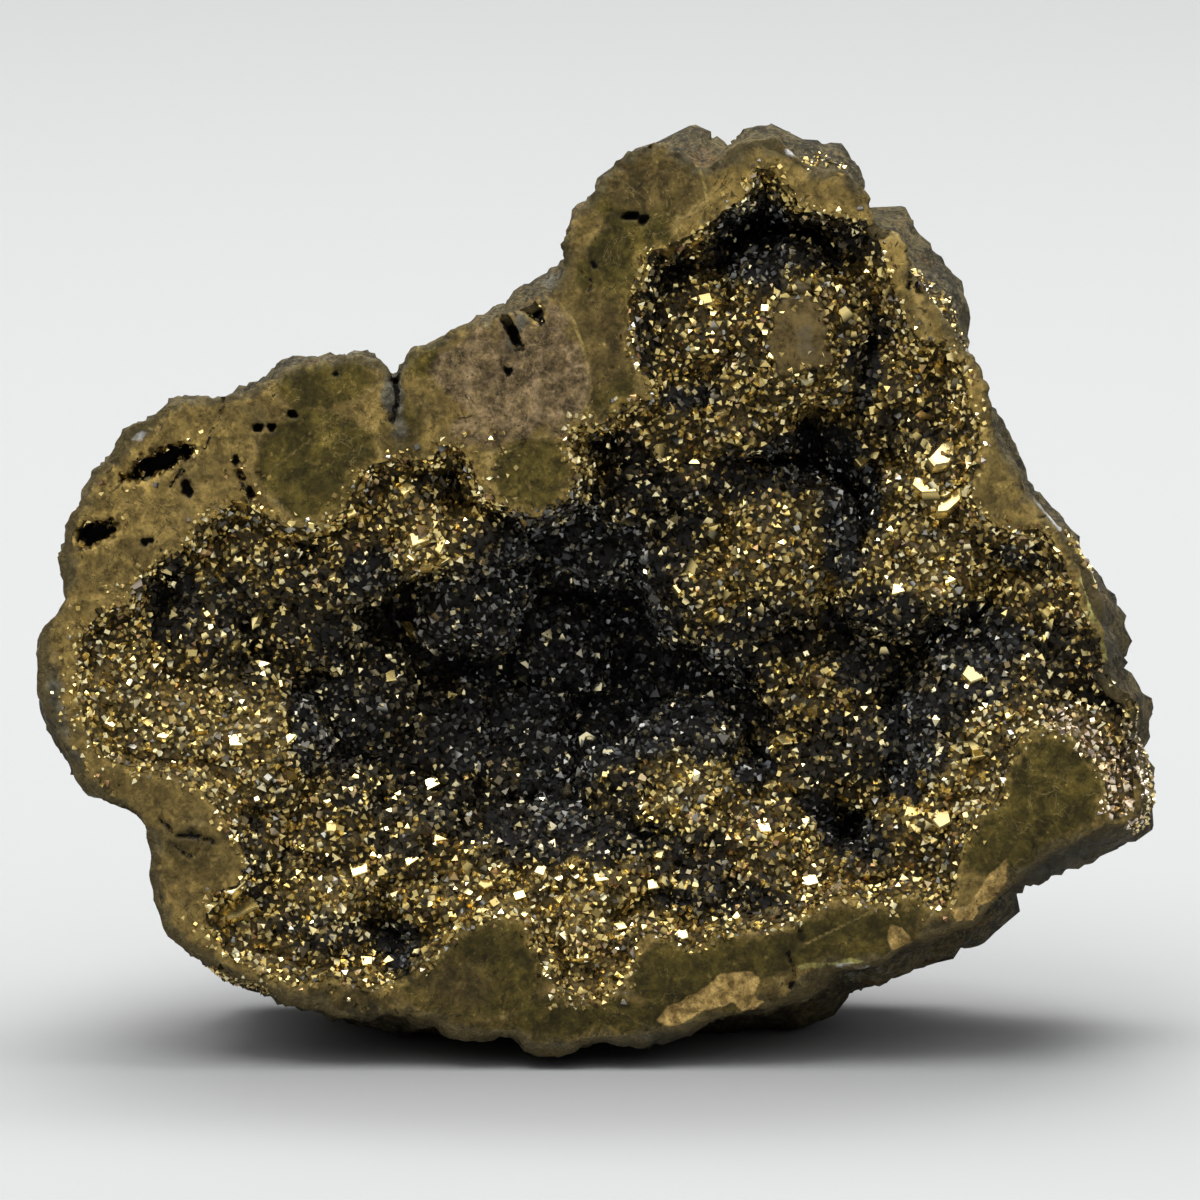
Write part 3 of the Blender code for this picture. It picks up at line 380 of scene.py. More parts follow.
# Layers of crystals in the hollow: name, spacing, least and greatest size and how far they are sunk, in
# millimetres
CRYSTAL_LAYERS = [
    ("crystals_fine", 0.35, 0.40, 0.60, 0.03),
    ("crystals_middle", 0.80, 0.54, 0.82, 0.05),
    ("crystals_coarse", 2.4, 0.80, 1.12, 0.10),
]

# The fringe of crystals on the sawn face and rind, likewise
RIM_SPACING = 0.28
RIM_SIZES = (0.24, 0.56)
RIM_SINK = 0.06

# How far crystals lean at random, how far they turn up to the light, and the least room beside the fringe
CRYSTAL_TILT = 0.45
CRYSTAL_RISE = (0, 0.25, 0)
FRINGE_MARGIN = 0.4

# Profiles of the large crystals: shares of their long and short sides, and heights in short sides
PLATE_PROFILE = ((1.12, 1.1, -1.0), (1.0, 1.0, 0.30), (0.86, 0.86, 0.42))
WEDGE_PROFILE = ((1.0, 1.0, -1.0), (1.0, 0.95, 0.1), (0.72, 0.07, 0.60))

# How far plates and wedges face up, in degrees, and how much of a crystal's lean adds to that
PLATE_RISE = 34
WEDGE_RISE = 24
LEAN_SHARE = 0.7

# Values that mark places on the stone are held within this many millimetres
FIELD_LIMIT = 5.0

RANDOM_SEED = 11

# Camera and room, in metres and degrees, with the sensor in millimetres
CAMERA_DISTANCE = 0.70
CAMERA_RISE = 10.0
SENSOR = 36.0
FRAME_PX = 1200
FLOOR_HALF = 4.0
BACKDROP_START = 0.85
BACKDROP_HIGH = 1.4
BEND = 0.25
PAPER = (0.352, 0.356, 0.354)

# The dome of light: its strength round the horizon and overhead, and the heights between which it grows
DOME_LOW = 0.055
DOME_HIGH = 1.22
DOME_FROM = 0.22
DOME_TO = 0.74
DOME_COLOUR = (0.97, 0.985, 1.0, 1)

# Soft boxes: name, place, what they shine at and size in metres, and power in watts
SOFT_BOXES = [
    ("key", (-0.16, -0.22, 0.62), (0, 0, 0.03), (0.32, 0.32), 1.7),
    ("top", (0.05, 0.15, 0.70), (0, 0, 0.03), (0.58, 0.44), 3.9),
    ("backdrop_wash", (0.0, 0.50, 0.9), (0, 0.62, 0.0), (1.2, 0.3), 8.2),
]


def face_point(x, y):
    """(u, v) in millimetres of a pixel of the photograph."""
    return (x - MIDDLE_PX) * SCALE, (FOOT_PX - y) * SCALE


def smooth_loop(points, count):
    """A closed Catmull-Rom curve through the points, sampled at equal steps of its length."""
    p = np.asarray(points, float)
    before, here, after, beyond = (np.roll(p, k, axis=0)[:, None] for k in (1, 0, -1, -2))
    t = np.linspace(0, 1, 16, endpoint=False)[None, :, None]
    curve = 0.5 * (
        2 * here
        + (after - before) * t
        + (2 * before - 5 * here + 4 * after - beyond) * t**2
        + (3 * here - before - 3 * after + beyond) * t**3
    ).reshape(-1, p.shape[1])
    closed = np.vstack([curve, curve[:1]])
    length = np.r_[0, np.cumsum(np.hypot(*np.diff(closed[:, :2], axis=0).T))]
    at = np.linspace(0, length[-1], count, endpoint=False)
    return np.column_stack([np.interp(at, length, closed[:, k]) for k in range(p.shape[1])])


def loop_normals(loop):
    """Outward unit normals of a loop that runs clockwise as seen from in front of the face."""
    along = np.roll(loop[:, :2], -1, axis=0) - np.roll(loop[:, :2], 1, axis=0)
    along /= np.linalg.norm(along, axis=1)[:, None]
    return np.column_stack([-along[:, 1], along[:, 0]])


def distance_inside(points, loop):
    """Distance of each point from the closed loop, positive inside it, and the nearest loop point's index."""
    start = loop[:, :2]
    step = np.roll(start, -1, axis=0) - start
    square = (step**2).sum(1)
    distance = np.empty(len(points))
    nearest = np.empty(len(points), int)
    for first in range(0, len(points), 1500):
        p = points[first : first + 1500, None, :]
        away = p - start
        share = np.clip((away * step).sum(2) / square, 0, 1)
        gap = np.hypot(away[..., 0] - share * step[:, 0], away[..., 1] - share * step[:, 1])
        above = start[:, 1] > p[..., 1]
        crosses = above != np.roll(above, -1, axis=1)
        rise = np.where(step[:, 1] == 0, 1e-9, step[:, 1])
        crosses &= p[..., 0] < start[:, 0] + (p[..., 1] - start[:, 1]) / rise * step[:, 0]
        sign = np.where(crosses.sum(1) % 2 == 1, 1.0, -1.0)
        rows = slice(first, first + len(p))
        nearest[rows] = gap.argmin(1)
        distance[rows] = gap.min(1) * sign
    return distance, nearest


def keep_inside(rim, edge, least):
    """The rim moved in wherever it comes nearer than the least distance to the edge."""
    for _ in range(3):
        inside, nearest = distance_inside(rim, edge)
        rim = rim - loop_normals(edge)[nearest] * (least - inside).clip(0)[:, None]
    return rim


def lattice(loop, step):
    """Points of a triangular lattice over a loop's box."""
    low, high = loop[:, :2].min(0), loop[:, :2].max(0)
    rise = step * math.sqrt(3) / 2
    rows = np.arange(int((high[1] - low[1]) / rise) + 2)
    columns = np.arange(int((high[0] - low[0]) / step) + 2)
    x = low[0] + (columns[None, :] + 0.5 * (rows[:, None] % 2)) * step
    y = np.repeat(low[1] + rows[:, None] * rise, len(columns), axis=1)
    return np.column_stack([x.ravel(), y.ravel()])


def triangulate(points, loops):
    """Delaunay triangles over the points that keep each loop's edges, counterclockwise, in a fixed order."""
    edges = [(a, b) for loop in loops for a, b in zip(loop, list(loop[1:]) + [loop[0]])]
    made = delaunay_2d_cdt([Vector(p) for p in points], edges, [], 0, 1e-7)
    source = [ids[0] for ids in made[3]]
    faces = np.array([[source[i] for i in face] for face in made[2]])
    a, b, c = (np.asarray(points)[faces[:, k]] for k in range(3))
    turn = (b - a)[:, 0] * (c - a)[:, 1] - (b - a)[:, 1] * (c - a)[:, 0]
    faces[turn < 0] = faces[turn < 0][:, ::-1]
    first = faces.argmin(axis=1)
    faces = np.take_along_axis(faces, (first[:, None] + np.arange(3)) % 3, axis=1)
    return faces[np.lexsort(faces.T[::-1])]


def back_depth(points, edge):
    """Depth of the smooth back of the stone behind each point, and how far out the point is, 0 to 1."""
    inside, nearest = distance_inside(points, edge)
    pole = np.array(face_point(*BACK_POLE))
    out = np.linalg.norm(points - pole, axis=1)
    share = out / np.maximum(out + np.maximum(inside, 0), 1e-9)
    depth = STONE_DEPTH * np.cos(share * math.pi / 2).clip(0) ** BACK_POWER
    return depth, share, nearest


def wall_depth(points, edge):
    """Depth of the stone's back straight behind each point, where the rounded back has drawn in."""
    inside, _ = distance_inside(points, edge)
    out = np.linalg.norm(points - face_point(*BACK_POLE), axis=1)
    lateral = out / np.maximum(out + np.maximum(inside, 0), 1e-9)
    return STONE_DEPTH * np.sqrt(1 - lateral.clip(0, 1) ** 2) ** BACK_POWER


def hollow_depth(points, rim, edge):
    """Depth of the crust's surface behind the sawn face."""
    inside, _ = distance_inside(points, rim)
    floor = np.full(len(points), FLOOR_DEPTH)
    for x, y, radius, extra in BASINS:
        reach = np.linalg.norm(points - face_point(x, y), axis=1) / (radius * SCALE)
        floor += extra * np.exp(-(reach**2))
    depth = floor * (1 - np.exp(-inside.clip(0) / WALL_REACH))
    for x, y, radius, top in LUMPS:
        ball = radius * SCALE * LUMP_SPREAD
        reach = np.linalg.norm(points - face_point(x, y), axis=1) / ball
        dome = top + ball * (1 - np.sqrt((1 - reach**2).clip(0))) + LUMP_FLARE * (reach - 1).clip(0)
        mix = (0.5 + 0.5 * (depth - dome) / LUMP_BLEND).clip(0, 1)
        depth = depth * (1 - mix) + dome * mix - LUMP_BLEND * mix * (1 - mix)
    most = wall_depth(points, edge) - LEAST_WALL - CRUST
    return np.minimum(depth, most.clip(0)).clip(0)


def rind_relief(point):
    """How far the knobbly rind stands out of its smooth form at a point, in millimetres."""
    knobs = noise.voronoi(Vector(point) / KNOB_SIZE)[0]
    swell = noise.noise(Vector(point) / SWELL_SIZE + Vector((5.1, 2.3, 8.7)))
    grain = noise.fractal(Vector(point) / GRAIN_SIZE, 0.9, 2.1, 3)
    return KNOB_RISE * (0.55 - knobs[0]) + SWELL_RISE * swell + GRAIN_RISE * grain


def rind_crumble(point):
    """The rind's fine roughness at a point, in millimetres: crumbs, grit, pits and small ledges."""
    p = Vector(point)
    crumbs = 0.45 - noise.voronoi(p / 1.5)[0][0]
    grit = 0.45 - noise.voronoi(p / 0.8 + Vector((6.2, 1.4, 3.9)))[0][0]
    pits = max(noise.noise(p / 0.9 + Vector((3.3, 9.1, 4.2))) - 0.2, 0.0)
    ledges = noise.fractal(p / 0.7 + Vector((1.0, 7.0, 2.0)), 0.8, 2.2, 3)
    return 0.50 * crumbs + 0.34 * grit - 0.40 * pits + 0.14 * ledges


def to_model(points):
    """(u, v, w) in millimetres to the model's frame in metres, leaning the face back."""
    u, v, w = np.asarray(points, float).T
    up = v * math.cos(LEAN) - w * math.sin(LEAN) + EDGE_LIFT
    back = v * math.sin(LEAN) + w * math.cos(LEAN)
    return np.column_stack([u + FACE_X, back + FACE_Y, up]) / 1000


def vertex_normals(points, faces):
    """Unit normals of a surface's points on their deeper side, weighted by the faces' areas."""
    a, b, c = (points[faces[:, k]] for k in range(3))
    across = np.cross(b - a, c - a)
    total = np.zeros_like(points)
    for k in range(3):
        np.add.at(total, faces[:, k], across)
    return total / np.maximum(np.linalg.norm(total, axis=1), 1e-12)[:, None]


def wall_between(front, back, count):
    """Faces of a wall between two rings of as many points, given each ring's first point."""
    ring = np.arange(count)
    after = np.roll(ring, -1)
    one = np.column_stack([ring + front, after + front, ring + back])
    other = np.column_stack([after + front, after + back, ring + back])
    return np.vstack([one, other])


def add_mesh(name, points, faces, materials, kinds=None, fields=None, smooth=False):
    """A mesh object of triangles from (u, v, w) points, kept in the solid's box, with its fields' values."""
    mesh = bpy.data.meshes.new(name)
    mesh.vertices.add(len(points))
    mesh.vertices.foreach_set("co", np.clip(to_model(points), *cad_bounds).ravel())
    mesh.loops.add(3 * len(faces))
    mesh.loops.foreach_set("vertex_index", np.asarray(faces, np.int32).ravel())
    mesh.polygons.add(len(faces))
    mesh.polygons.foreach_set("loop_start", np.arange(0, 3 * len(faces), 3, dtype=np.int32))
    mesh.polygons.foreach_set("loop_total", np.full(len(faces), 3, np.int32))
    mesh.update(calc_edges=True)
    mesh.validate()
    for material in materials:
        mesh.materials.append(material)
    if kinds is not None:
        mesh.polygons.foreach_set("material_index", np.asarray(kinds, np.int32))
    mesh.polygons.foreach_set("use_smooth", np.full(len(faces), smooth))
    for field, values in (fields or {}).items():
        layer = mesh.attributes.new(field, "FLOAT", "POINT")
        layer.data.foreach_set("value", np.asarray(values, np.float32))
    obj = bpy.data.objects.new(name, mesh)
    bpy.context.scene.collection.objects.link(obj)
    return obj


# The sawn face's marks


def ellipse_reach(points, x, y, wide, high, tilt):
    """How far each point is from an ellipse's middle, 1 on its outline."""
    turn = math.radians(tilt)
    away = points - face_point(x, y)
    along = away[:, 0] * math.cos(turn) + away[:, 1] * math.sin(turn)
    across = away[:, 1] * math.cos(turn) - away[:, 0] * math.sin(turn)
    return np.hypot(along / (wide * SCALE), across / (high * SCALE))


def ellipse_field(points, ellipses):
    """Depth of each point inside the nearest ellipse, in millimetres, negative outside them all."""
    field = np.full(len(points), -FIELD_LIMIT)
    for x, y, wide, high, tilt in ellipses:
        reach = ellipse_reach(points, x, y, wide, high, tilt)
        field = np.maximum(field, (1 - reach) * min(wide, high) * SCALE)
    return field.clip(-FIELD_LIMIT, FIELD_LIMIT)


def chip_field(points):
    """Depth of each point inside the nearest chip, in millimetres, negative outside them all."""
    field = np.full(len(points), -FIELD_LIMIT)
    for outline in CHIPS:
        loop = np.array([face_point(x, y) for x, y in outline])
        field = np.maximum(field, distance_inside(points, loop)[0])
    return field.clip(-FIELD_LIMIT, FIELD_LIMIT)


def line_field(points, lines):
    """Depth of each point inside the nearest line, in millimetres, negative outside them all."""
    field = np.full(len(points), -FIELD_LIMIT)
    for path, half in lines:
        ends = np.array([face_point(x, y) for x, y in path])
        for a, b in zip(ends[:-1], ends[1:]):
            step = b - a
            share = (((points - a) @ step) / (step @ step)).clip(0, 1)
            gap = np.linalg.norm(points - a - share[:, None] * step, axis=1)
            field = np.maximum(field, half - gap)
    return field.clip(-FIELD_LIMIT, FIELD_LIMIT)


def ragged(points, size, seed):
    """Noise of the given grain size in millimetres at each (u, v) point, about -1 to 1."""
    offset = Vector((seed * 3.7, seed * 1.9, seed * 7.3))
    return np.array([noise.fractal(Vector((u, v, 0)) / size + offset, 0.9, 2.0, 3) for u, v in points[:, :2]])


def vug_field(points, rough):
    """How deep each point lies in a vug, as a share and in millimetres, and how far it is from a deep one."""
    share = np.zeros(len(points))
    depth = np.zeros(len(points))
    away_mm = np.full(len(points), FIELD_LIMIT)
    fine = ragged(points, 0.4, 16)
    for x, y, length, width, tilt, deep in VUGS:
        reach = ellipse_reach(points, x, y, length, width, tilt) + 0.30 * rough + 0.40 * fine
        sunk = ((1.05 - reach) / 0.4).clip(0, 1)
        share = np.maximum(share, sunk)
        depth = np.maximum(depth, sunk * deep)
        if deep > 1.5:
            away_mm = np.minimum(away_mm, (reach - 1) * width * SCALE)
    return share, depth, away_mm.clip(-FIELD_LIMIT, FIELD_LIMIT)


def face_relief(points, inside, outside_rim, rough):
    """Depth of the sawn face's small pits and worn edges below its plane, in millimetres."""
    pits = np.array([noise.noise(Vector((u, v, 3.7)) / 0.55) for u, v in points])
    relief = 0.7 * (pits - 0.40 + 0.12 * rough).clip(0)
    worn = 0.30 * (1 - inside / (0.55 + 0.35 * rough).clip(0.1)).clip(0, 1) ** 1.5
    lip = 0.22 * (1 - outside_rim / (0.45 + 0.35 * rough).clip(0.1)).clip(0, 1) ** 1.5
    crack = (line_field(points, CRACKS) / 0.10).clip(0, 1) * 0.5
    chips = (chip_field(points) / 0.15).clip(0, 1) * 0.12
    white = (ellipse_field(points, WHITE_CHIPS) / 0.3).clip(0, 1) * 0.35
    return relief + worn + lip + crack + chips + white


# Building the stone


def rind_surface(edge, step):
    """Points (u, v, w) and faces of the outer rind, whose first points are the sawn face's edge."""
    count = len(edge)
    rows = [edge[:, :2]]
    for k, inset in enumerate(RIND_LOOPS):
        row = edge[k % 2 :: 2, :2] - loop_normals(edge)[k % 2 :: 2] * inset
        if inset < 0.3:
            row = edge[:, :2] - loop_normals(edge) * inset
        rows.append(row[distance_inside(row, edge)[0] > 0.9 * inset])
    grid = lattice(edge, step)
    rows.append(grid[distance_inside(grid, edge)[0] > RIND_LOOPS[-1] + 0.5 * step])
    flat = np.vstack(rows)
    faces = triangulate(flat, [list(range(count))])
    faces = faces[distance_inside(flat[faces].mean(1), edge)[0] > 0]
    depth, share, nearest = back_depth(flat, edge)
    pole = np.array(face_point(*BACK_POLE))
    angle = share * math.pi / 2
    widen = np.where(share > 1e-6, np.sin(angle) / np.maximum(share, 1e-6), math.pi / 2)
    outward = loop_normals(edge)[nearest]
    out = STAND_GAIN * edge[nearest, 2]
    side = pole + (flat - pole) * widen[:, None]
    drawn_in = ((edge[nearest, :2] - side) * outward).sum(1).clip(0)
    full = out + (out / FULL_STAND).clip(0, 1) * drawn_in
    shoulder = np.sin(math.pi * ((1 - share) / ROUNDING_REACH).clip(0, 1)).clip(0) ** SHOULDER_POWER
    stand = full * shoulder
    side += outward * stand[:, None]
    points = np.column_stack([side, depth])
    points[:count, 2] = 0
    normals = vertex_normals(points, faces)
    normals[:count] = np.column_stack([loop_normals(edge), np.zeros(count)])
    relief = np.array([rind_relief(p) for p in points])
    relief = np.minimum(relief, EDGE_RELIEF + (out - stand).clip(0) + INNER_RELIEF * (1 - share))
    tight = ellipse_field(flat, TIGHT_RIND).clip(0, 1)
    relief = np.minimum(relief, TIGHT_RISE * tight + (1 - tight) * INNER_RELIEF)
    dent = SHOULDER_DENT + DEEPEST_DENT * (1 - shoulder * (out / FULL_STAND).clip(0, 1))
    relief = np.maximum(relief, -dent)
    relief[:count] = EDGE_RELIEF * relief[:count].clip(-1, 1)
    fade = (points[:, 2] / 1.2).clip(0.35, 1)
    crumble = np.array([rind_crumble(p) for p in points]) * fade * (1 - 0.6 * tight)
    crumble[:count] += 0.22 * ragged(edge, 1.3, 2) + 0.16 * ragged(edge, 0.5, 3)
    points += normals * (relief + crumble)[:, None]
    points = relax_folds(points, faces, count)
    points[count:, 2] = points[count:, 2].clip(RIND_LEAST)
    points[:count, 2] = EDGE_WEAR
    return points, faces


def relax_folds(points, faces, count):
    """The surface with its folds pulled straight, and the first points kept where they are."""
    one, other = faces.ravel(), np.roll(faces, -1, axis=1).ravel()
    degree = np.bincount(one, minlength=len(points)) + np.bincount(other, minlength=len(points))
    for _ in range(FOLD_ROUNDS):
        a, b, c = (points[faces[:, k]] for k in range(3))
        across = np.cross(b - a, c - a)
        across /= np.maximum(np.linalg.norm(across, axis=1), 1e-12)[:, None]
        mean = vertex_normals(points, faces)[faces].mean(1)
        mean /= np.maximum(np.linalg.norm(mean, axis=1), 1e-12)[:, None]
        folded = np.unique(faces[(across * mean).sum(1) < FOLD_LIMIT])
        folded = folded[folded >= count]
        total = np.zeros_like(points)
        np.add.at(total, one, points[other])
        np.add.at(total, other, points[one])
        points[folded] = 0.4 * points[folded] + 0.6 * (total / degree[:, None])[folded]
    return points


def flatten_foot(points):
    """The points with all that would lie below the table raised to it."""
    low = points[:, 1] * math.cos(LEAN) - points[:, 2] * math.sin(LEAN) + EDGE_LIFT
    points[:, 1] -= np.minimum(low, 0) / math.cos(LEAN)
    return points


def build_stone(edge, rim, hollow, materials):
    """The stone's rind, sawn face and socket as one fine mesh, and the parts of it that bear crystals."""
    rind, rind_faces = rind_surface(edge, RIND_STEP)
    rind = flatten_foot(rind)
    outline = rind[: len(edge), :2]
    fill = lattice(edge, FACE_STEP)
    inside = distance_inside(fill, outline)[0]
    fill = fill[inside > 0.6 * FACE_STEP]
    outside_rim = -distance_inside(fill, rim)[0]
    fill = fill[outside_rim > 0.6 * FACE_STEP]
    flat = np.vstack([outline, rim, fill])
    loops = [list(range(len(edge))), list(range(len(edge), len(edge) + len(rim)))]
    faces = triangulate(flat, loops)
    middles = flat[faces].mean(1)
    faces = faces[(distance_inside(middles, outline)[0] > 0) & (distance_inside(middles, rim)[0] < 0)]

    inside = distance_inside(flat, outline)[0].clip(0)
    inside[: len(edge)] = 0
    outside_rim = (-distance_inside(flat, rim)[0]).clip(0)
    outside_rim[len(edge) : len(edge) + len(rim)] = 0
    rough = ragged(flat, 0.9, 5)
    vug_share, vug_depth, vug_away = vug_field(flat, rough)
    depth = face_relief(flat, inside, outside_rim, rough) + vug_depth
    depth[: len(edge)] = EDGE_WEAR
    face = np.column_stack([flat, depth])

    front, front_faces = hollow
    socket = front + (0, 0, CRUST + SOCKET_GAP)
    socket[: len(rim), :2] = rim
    wall = wall_between(len(edge), len(face), len(rim))

    shift = len(face) + len(socket) - len(edge)
    back = np.where(rind_faces < len(edge), rind_faces, rind_faces + shift)[:, ::-1]
    points = np.vstack([face, socket, rind[len(edge) :]])
    every_face = np.vstack([faces, wall, front_faces + len(face), back])
    kinds = np.r_[np.zeros(len(faces) + len(wall) + len(front_faces)), np.ones(len(back))]
    uv = points[:, :2]
    others = len(points) - len(face)
    fields = {
        "olive": ellipse_field(uv, OLIVE_LOBES),
        "pink": ellipse_field(uv, PINK_PATCHES),
        "grey": ellipse_field(uv, GREY_PATCHES),
        "white": np.maximum(ellipse_field(uv, WHITE_CHIPS), line_field(uv, WHITE_SEAMS)),
        "sulphur": line_field(uv, SULPHUR),
        "chip": chip_field(uv),
        "crack": line_field(uv, CRACKS),
        "scratch": line_field(uv, SCRATCHES),
        "rim_mm": np.r_[outside_rim.clip(0, FIELD_LIMIT), np.full(others, FIELD_LIMIT)],
        "edge_mm": np.r_[inside.clip(0, FIELD_LIMIT), np.zeros(others)],
        "vug": np.r_[vug_share, np.zeros(others)],
        "vug_mm": np.r_[vug_away, np.full(others, FIELD_LIMIT)],
        "deep_mm": points[:, 2],
        "brown": ellipse_field(uv, BROWN_PATCHES),
        "light": ellipse_field(uv, PALE_OCHRE),
        "dark_rind": ellipse_field(uv, DARK_RIND),
    }
    stone = add_mesh("stone_fine", points, every_face[:, ::-1], materials, kinds, fields, smooth=True)
    fringe = 0.7 + 0.9 * ragged(flat, 2.0, 14) + 3.0 * (ellipse_field(flat, GRANULAR) > 0.4 * rough)
    gilded = (outside_rim < fringe) | ((vug_away < 0.5) & (vug_share < 0.9))
    gilded &= inside > 0.3
    crusted = ellipse_field(rind[:, :2], GOLD_RIND) > 0.5 * ragged(rind, 1.5, 15)
    crusted &= rind[:, 2] < GOLD_RIND_DEPTH
    bearing = np.vstack([face, rind])
    rind_part = rind_faces[crusted[rind_faces].all(axis=1)][:, ::-1] + len(face)
    return stone, bearing, np.vstack([faces[gilded[faces].all(axis=1)], rind_part])


# Building the druse


def hollow_surface(rim, edge):
    """Points (u, v, w) of the hollow's bumpy floor, the rim's first, and their triangles."""
    grid = lattice(rim, BASE_STEP)
    grid = grid[distance_inside(grid, rim)[0] > 0.55 * BASE_STEP]
    flat = np.vstack([rim, grid])
    faces = triangulate(flat, [list(range(len(rim)))])
    faces = faces[distance_inside(flat[faces].mean(1), rim)[0] > 0]
    inside = distance_inside(flat, rim)[0].clip(0)
    inside[: len(rim)] = 0
    away = np.zeros_like(flat)
    for k, (u, v) in enumerate(flat):
        broad = Vector((u, v, 0)) / 3.6
        small = Vector((u, v, 9)) / 1.5
        for axis, offset in enumerate((Vector((4.3, 8.1, 2.7)), Vector((9.6, 1.8, 6.4)))):
            away[k, axis] = WARP * (noise.noise(broad + offset) + 0.4 * noise.noise(small + offset))
    depth = hollow_depth(flat + away * (inside / 2.5).clip(0, 1)[:, None], rim, edge)
    bumps = np.zeros(len(flat))
    for k, (u, v) in enumerate(flat):
        place = Vector((u, v, depth[k]))
        broad = noise.voronoi(place / 3.4)[0]
        small = noise.voronoi(place / 1.5)[0]
        bumps[k] = 1.5 * (broad[0] - 0.45) + 0.65 * (small[0] - 0.45) + 0.5 * noise.noise(place / 0.9)
    depth = depth + bumps * (inside / 1.2).clip(0, 1)
    most = wall_depth(flat, edge) - LEAST_WALL - CRUST
    depth = np.minimum(depth, most).clip(0.30)
    top = sawn_top_reach(flat)
    depth = np.where(top < 1, 0.05, np.where(top < 1.12, np.minimum(depth, 0.35), depth))
    return np.column_stack([flat, depth]), faces


def sawn_top_reach(points):
    """How far each point is from the middle of the lump's sawn top, 1 at its ragged border."""
    middle = np.array(face_point(*SAWN_TOP[:2]))
    reach = np.linalg.norm((points[:, :2] - middle) / (np.array(SAWN_TOP[2:]) * SCALE), axis=1)
    near = reach < 2
    reach[near] += 0.34 * ragged(points[near], 1.3, 8)
    return reach


def shade_at(points):
    """How dark the druse is at each point, 0 for clean gold and 1 for the blackest parts."""
    away = 0.8 * np.column_stack([ragged(points, 2.2, 11), ragged(points, 2.2, 12)])
    shade = np.zeros(len(points))
    for x, y, wide, high, tilt, dark in SHADES:
        reach = ellipse_reach(points[:, :2] + away, x, y, wide, high, tilt)
        shade = np.maximum(shade, dark * ((1.2 - reach) / 0.4).clip(0, 1))
    return shade


def druse_base(rim, hollow, material):
    """The dark base that the crystals grow on, as a closed crust."""
    surface, faces = hollow
    front = surface.copy()
    front[: len(rim), :2] -= loop_normals(rim) * SEAM
    back = front + (0, 0, CRUST)
    side = wall_between(0, len(front), len(rim))[:, ::-1]
    every_face = np.vstack([faces, faces[:, ::-1] + len(front), side])
    points = np.vstack([front, back])
    shade = shade_at(front)
    sawn = 1 - sawn_top_reach(front)
    fields = {
        "shade": np.r_[shade, shade],
        "sawn": np.r_[sawn, np.full(len(back), -1.0)].clip(-1, 1),
        "glow": np.tile(ellipse_field(front[:, :2], BRIGHT_DRUSE), 2),
    }
    return add_mesh("druse_base", points, every_face[:, ::-1], [material], fields=fields)


def crystal_forms():
    """The crystals' forms, each as corners about the origin with the free end up, and triangles."""

    def frustum(sides, foot, top, low, high):
        turns = [math.tau * (k + 0.5) / sides for k in range(sides)]
        corners = [(foot * math.cos(t), foot * math.sin(t), low) for t in turns]
        corners += [(top * math.cos(t), top * math.sin(t), high) for t in turns]
        triangles = []
        for k in range(sides):
            after = (k + 1) % sides
            triangles += [(k, after, after + sides), (k, after + sides, k + sides)]
        for k in range(1, sides - 1):
            triangles += [(0, k + 1, k), (sides, sides + k, sides + k + 1)]
        return np.array(corners), np.array(triangles)

    def octahedron(wide, high):
        corners = [(wide, 0, 0), (0, wide, 0), (-wide, 0, 0), (0, -wide, 0), (0, 0, high), (0, 0, -high)]
        triangles = [(k, (k + 1) % 4, 4) for k in range(4)] + [((k + 1) % 4, k, 5) for k in range(4)]
        return np.array(corners), np.array(triangles)

    return [
        frustum(3, 0.62, 0.30, -0.30, 0.42),
        octahedron(0.55, 0.52),
        frustum(4, 0.60, 0.38, -0.30, 0.36),
        frustum(3, 0.66, 0.05, -0.25, 0.50),
        octahedron(0.60, 0.36),
    ]


def scatter(points, faces, spacing, rng):
    """Places on a surface, no two nearer than the spacing, with the surface's normals there."""
    a, b, c = (points[faces[:, k]] for k in range(3))
    across = np.cross(b - a, c - a)
    area = np.linalg.norm(across, axis=1) / 2
    count = int(3 * area.sum() / spacing**2)
    pick = rng.choice(len(faces), count, p=area / area.sum())
    s, t = rng.random(count), rng.random(count)
    over = s + t > 1
    s[over], t[over] = 1 - s[over], 1 - t[over]
    places = a[pick] + s[:, None] * (b - a)[pick] + t[:, None] * (c - a)[pick]
    cell = spacing / math.sqrt(3)
    keep = np.unique((places / cell).round().astype(int), axis=0, return_index=True)[1]
    places, pick = places[np.sort(keep)], pick[np.sort(keep)]
    tree = kdtree.KDTree(len(places))
    for k, p in enumerate(places):
        tree.insert(p, k)
    tree.balance()
    gone = np.zeros(len(places), bool)
    for k, p in enumerate(places):
        if not gone[k]:
            for _, other, _ in tree.find_range(p, spacing):
                if other != k:
                    gone[other] = True
    kept = ~gone
    normals = -across[pick[kept]]
    normals /= np.linalg.norm(normals, axis=1)[:, None]
    return places[kept], normals


def crystal_frames(normals, tilt, rng):
    """Rotation matrices whose third axis leans off each normal by up to a tilt, turned at random."""
    count = len(normals)
    lean = rng.normal(size=(count, 3))
    axis = normals + lean * tilt
    axis /= np.linalg.norm(axis, axis=1)[:, None]
    other = rng.normal(size=(count, 3))
    first = np.cross(axis, other)
    first /= np.linalg.norm(first, axis=1)[:, None]
    second = np.cross(axis, first)
    return np.stack([first, second, axis], axis=2)


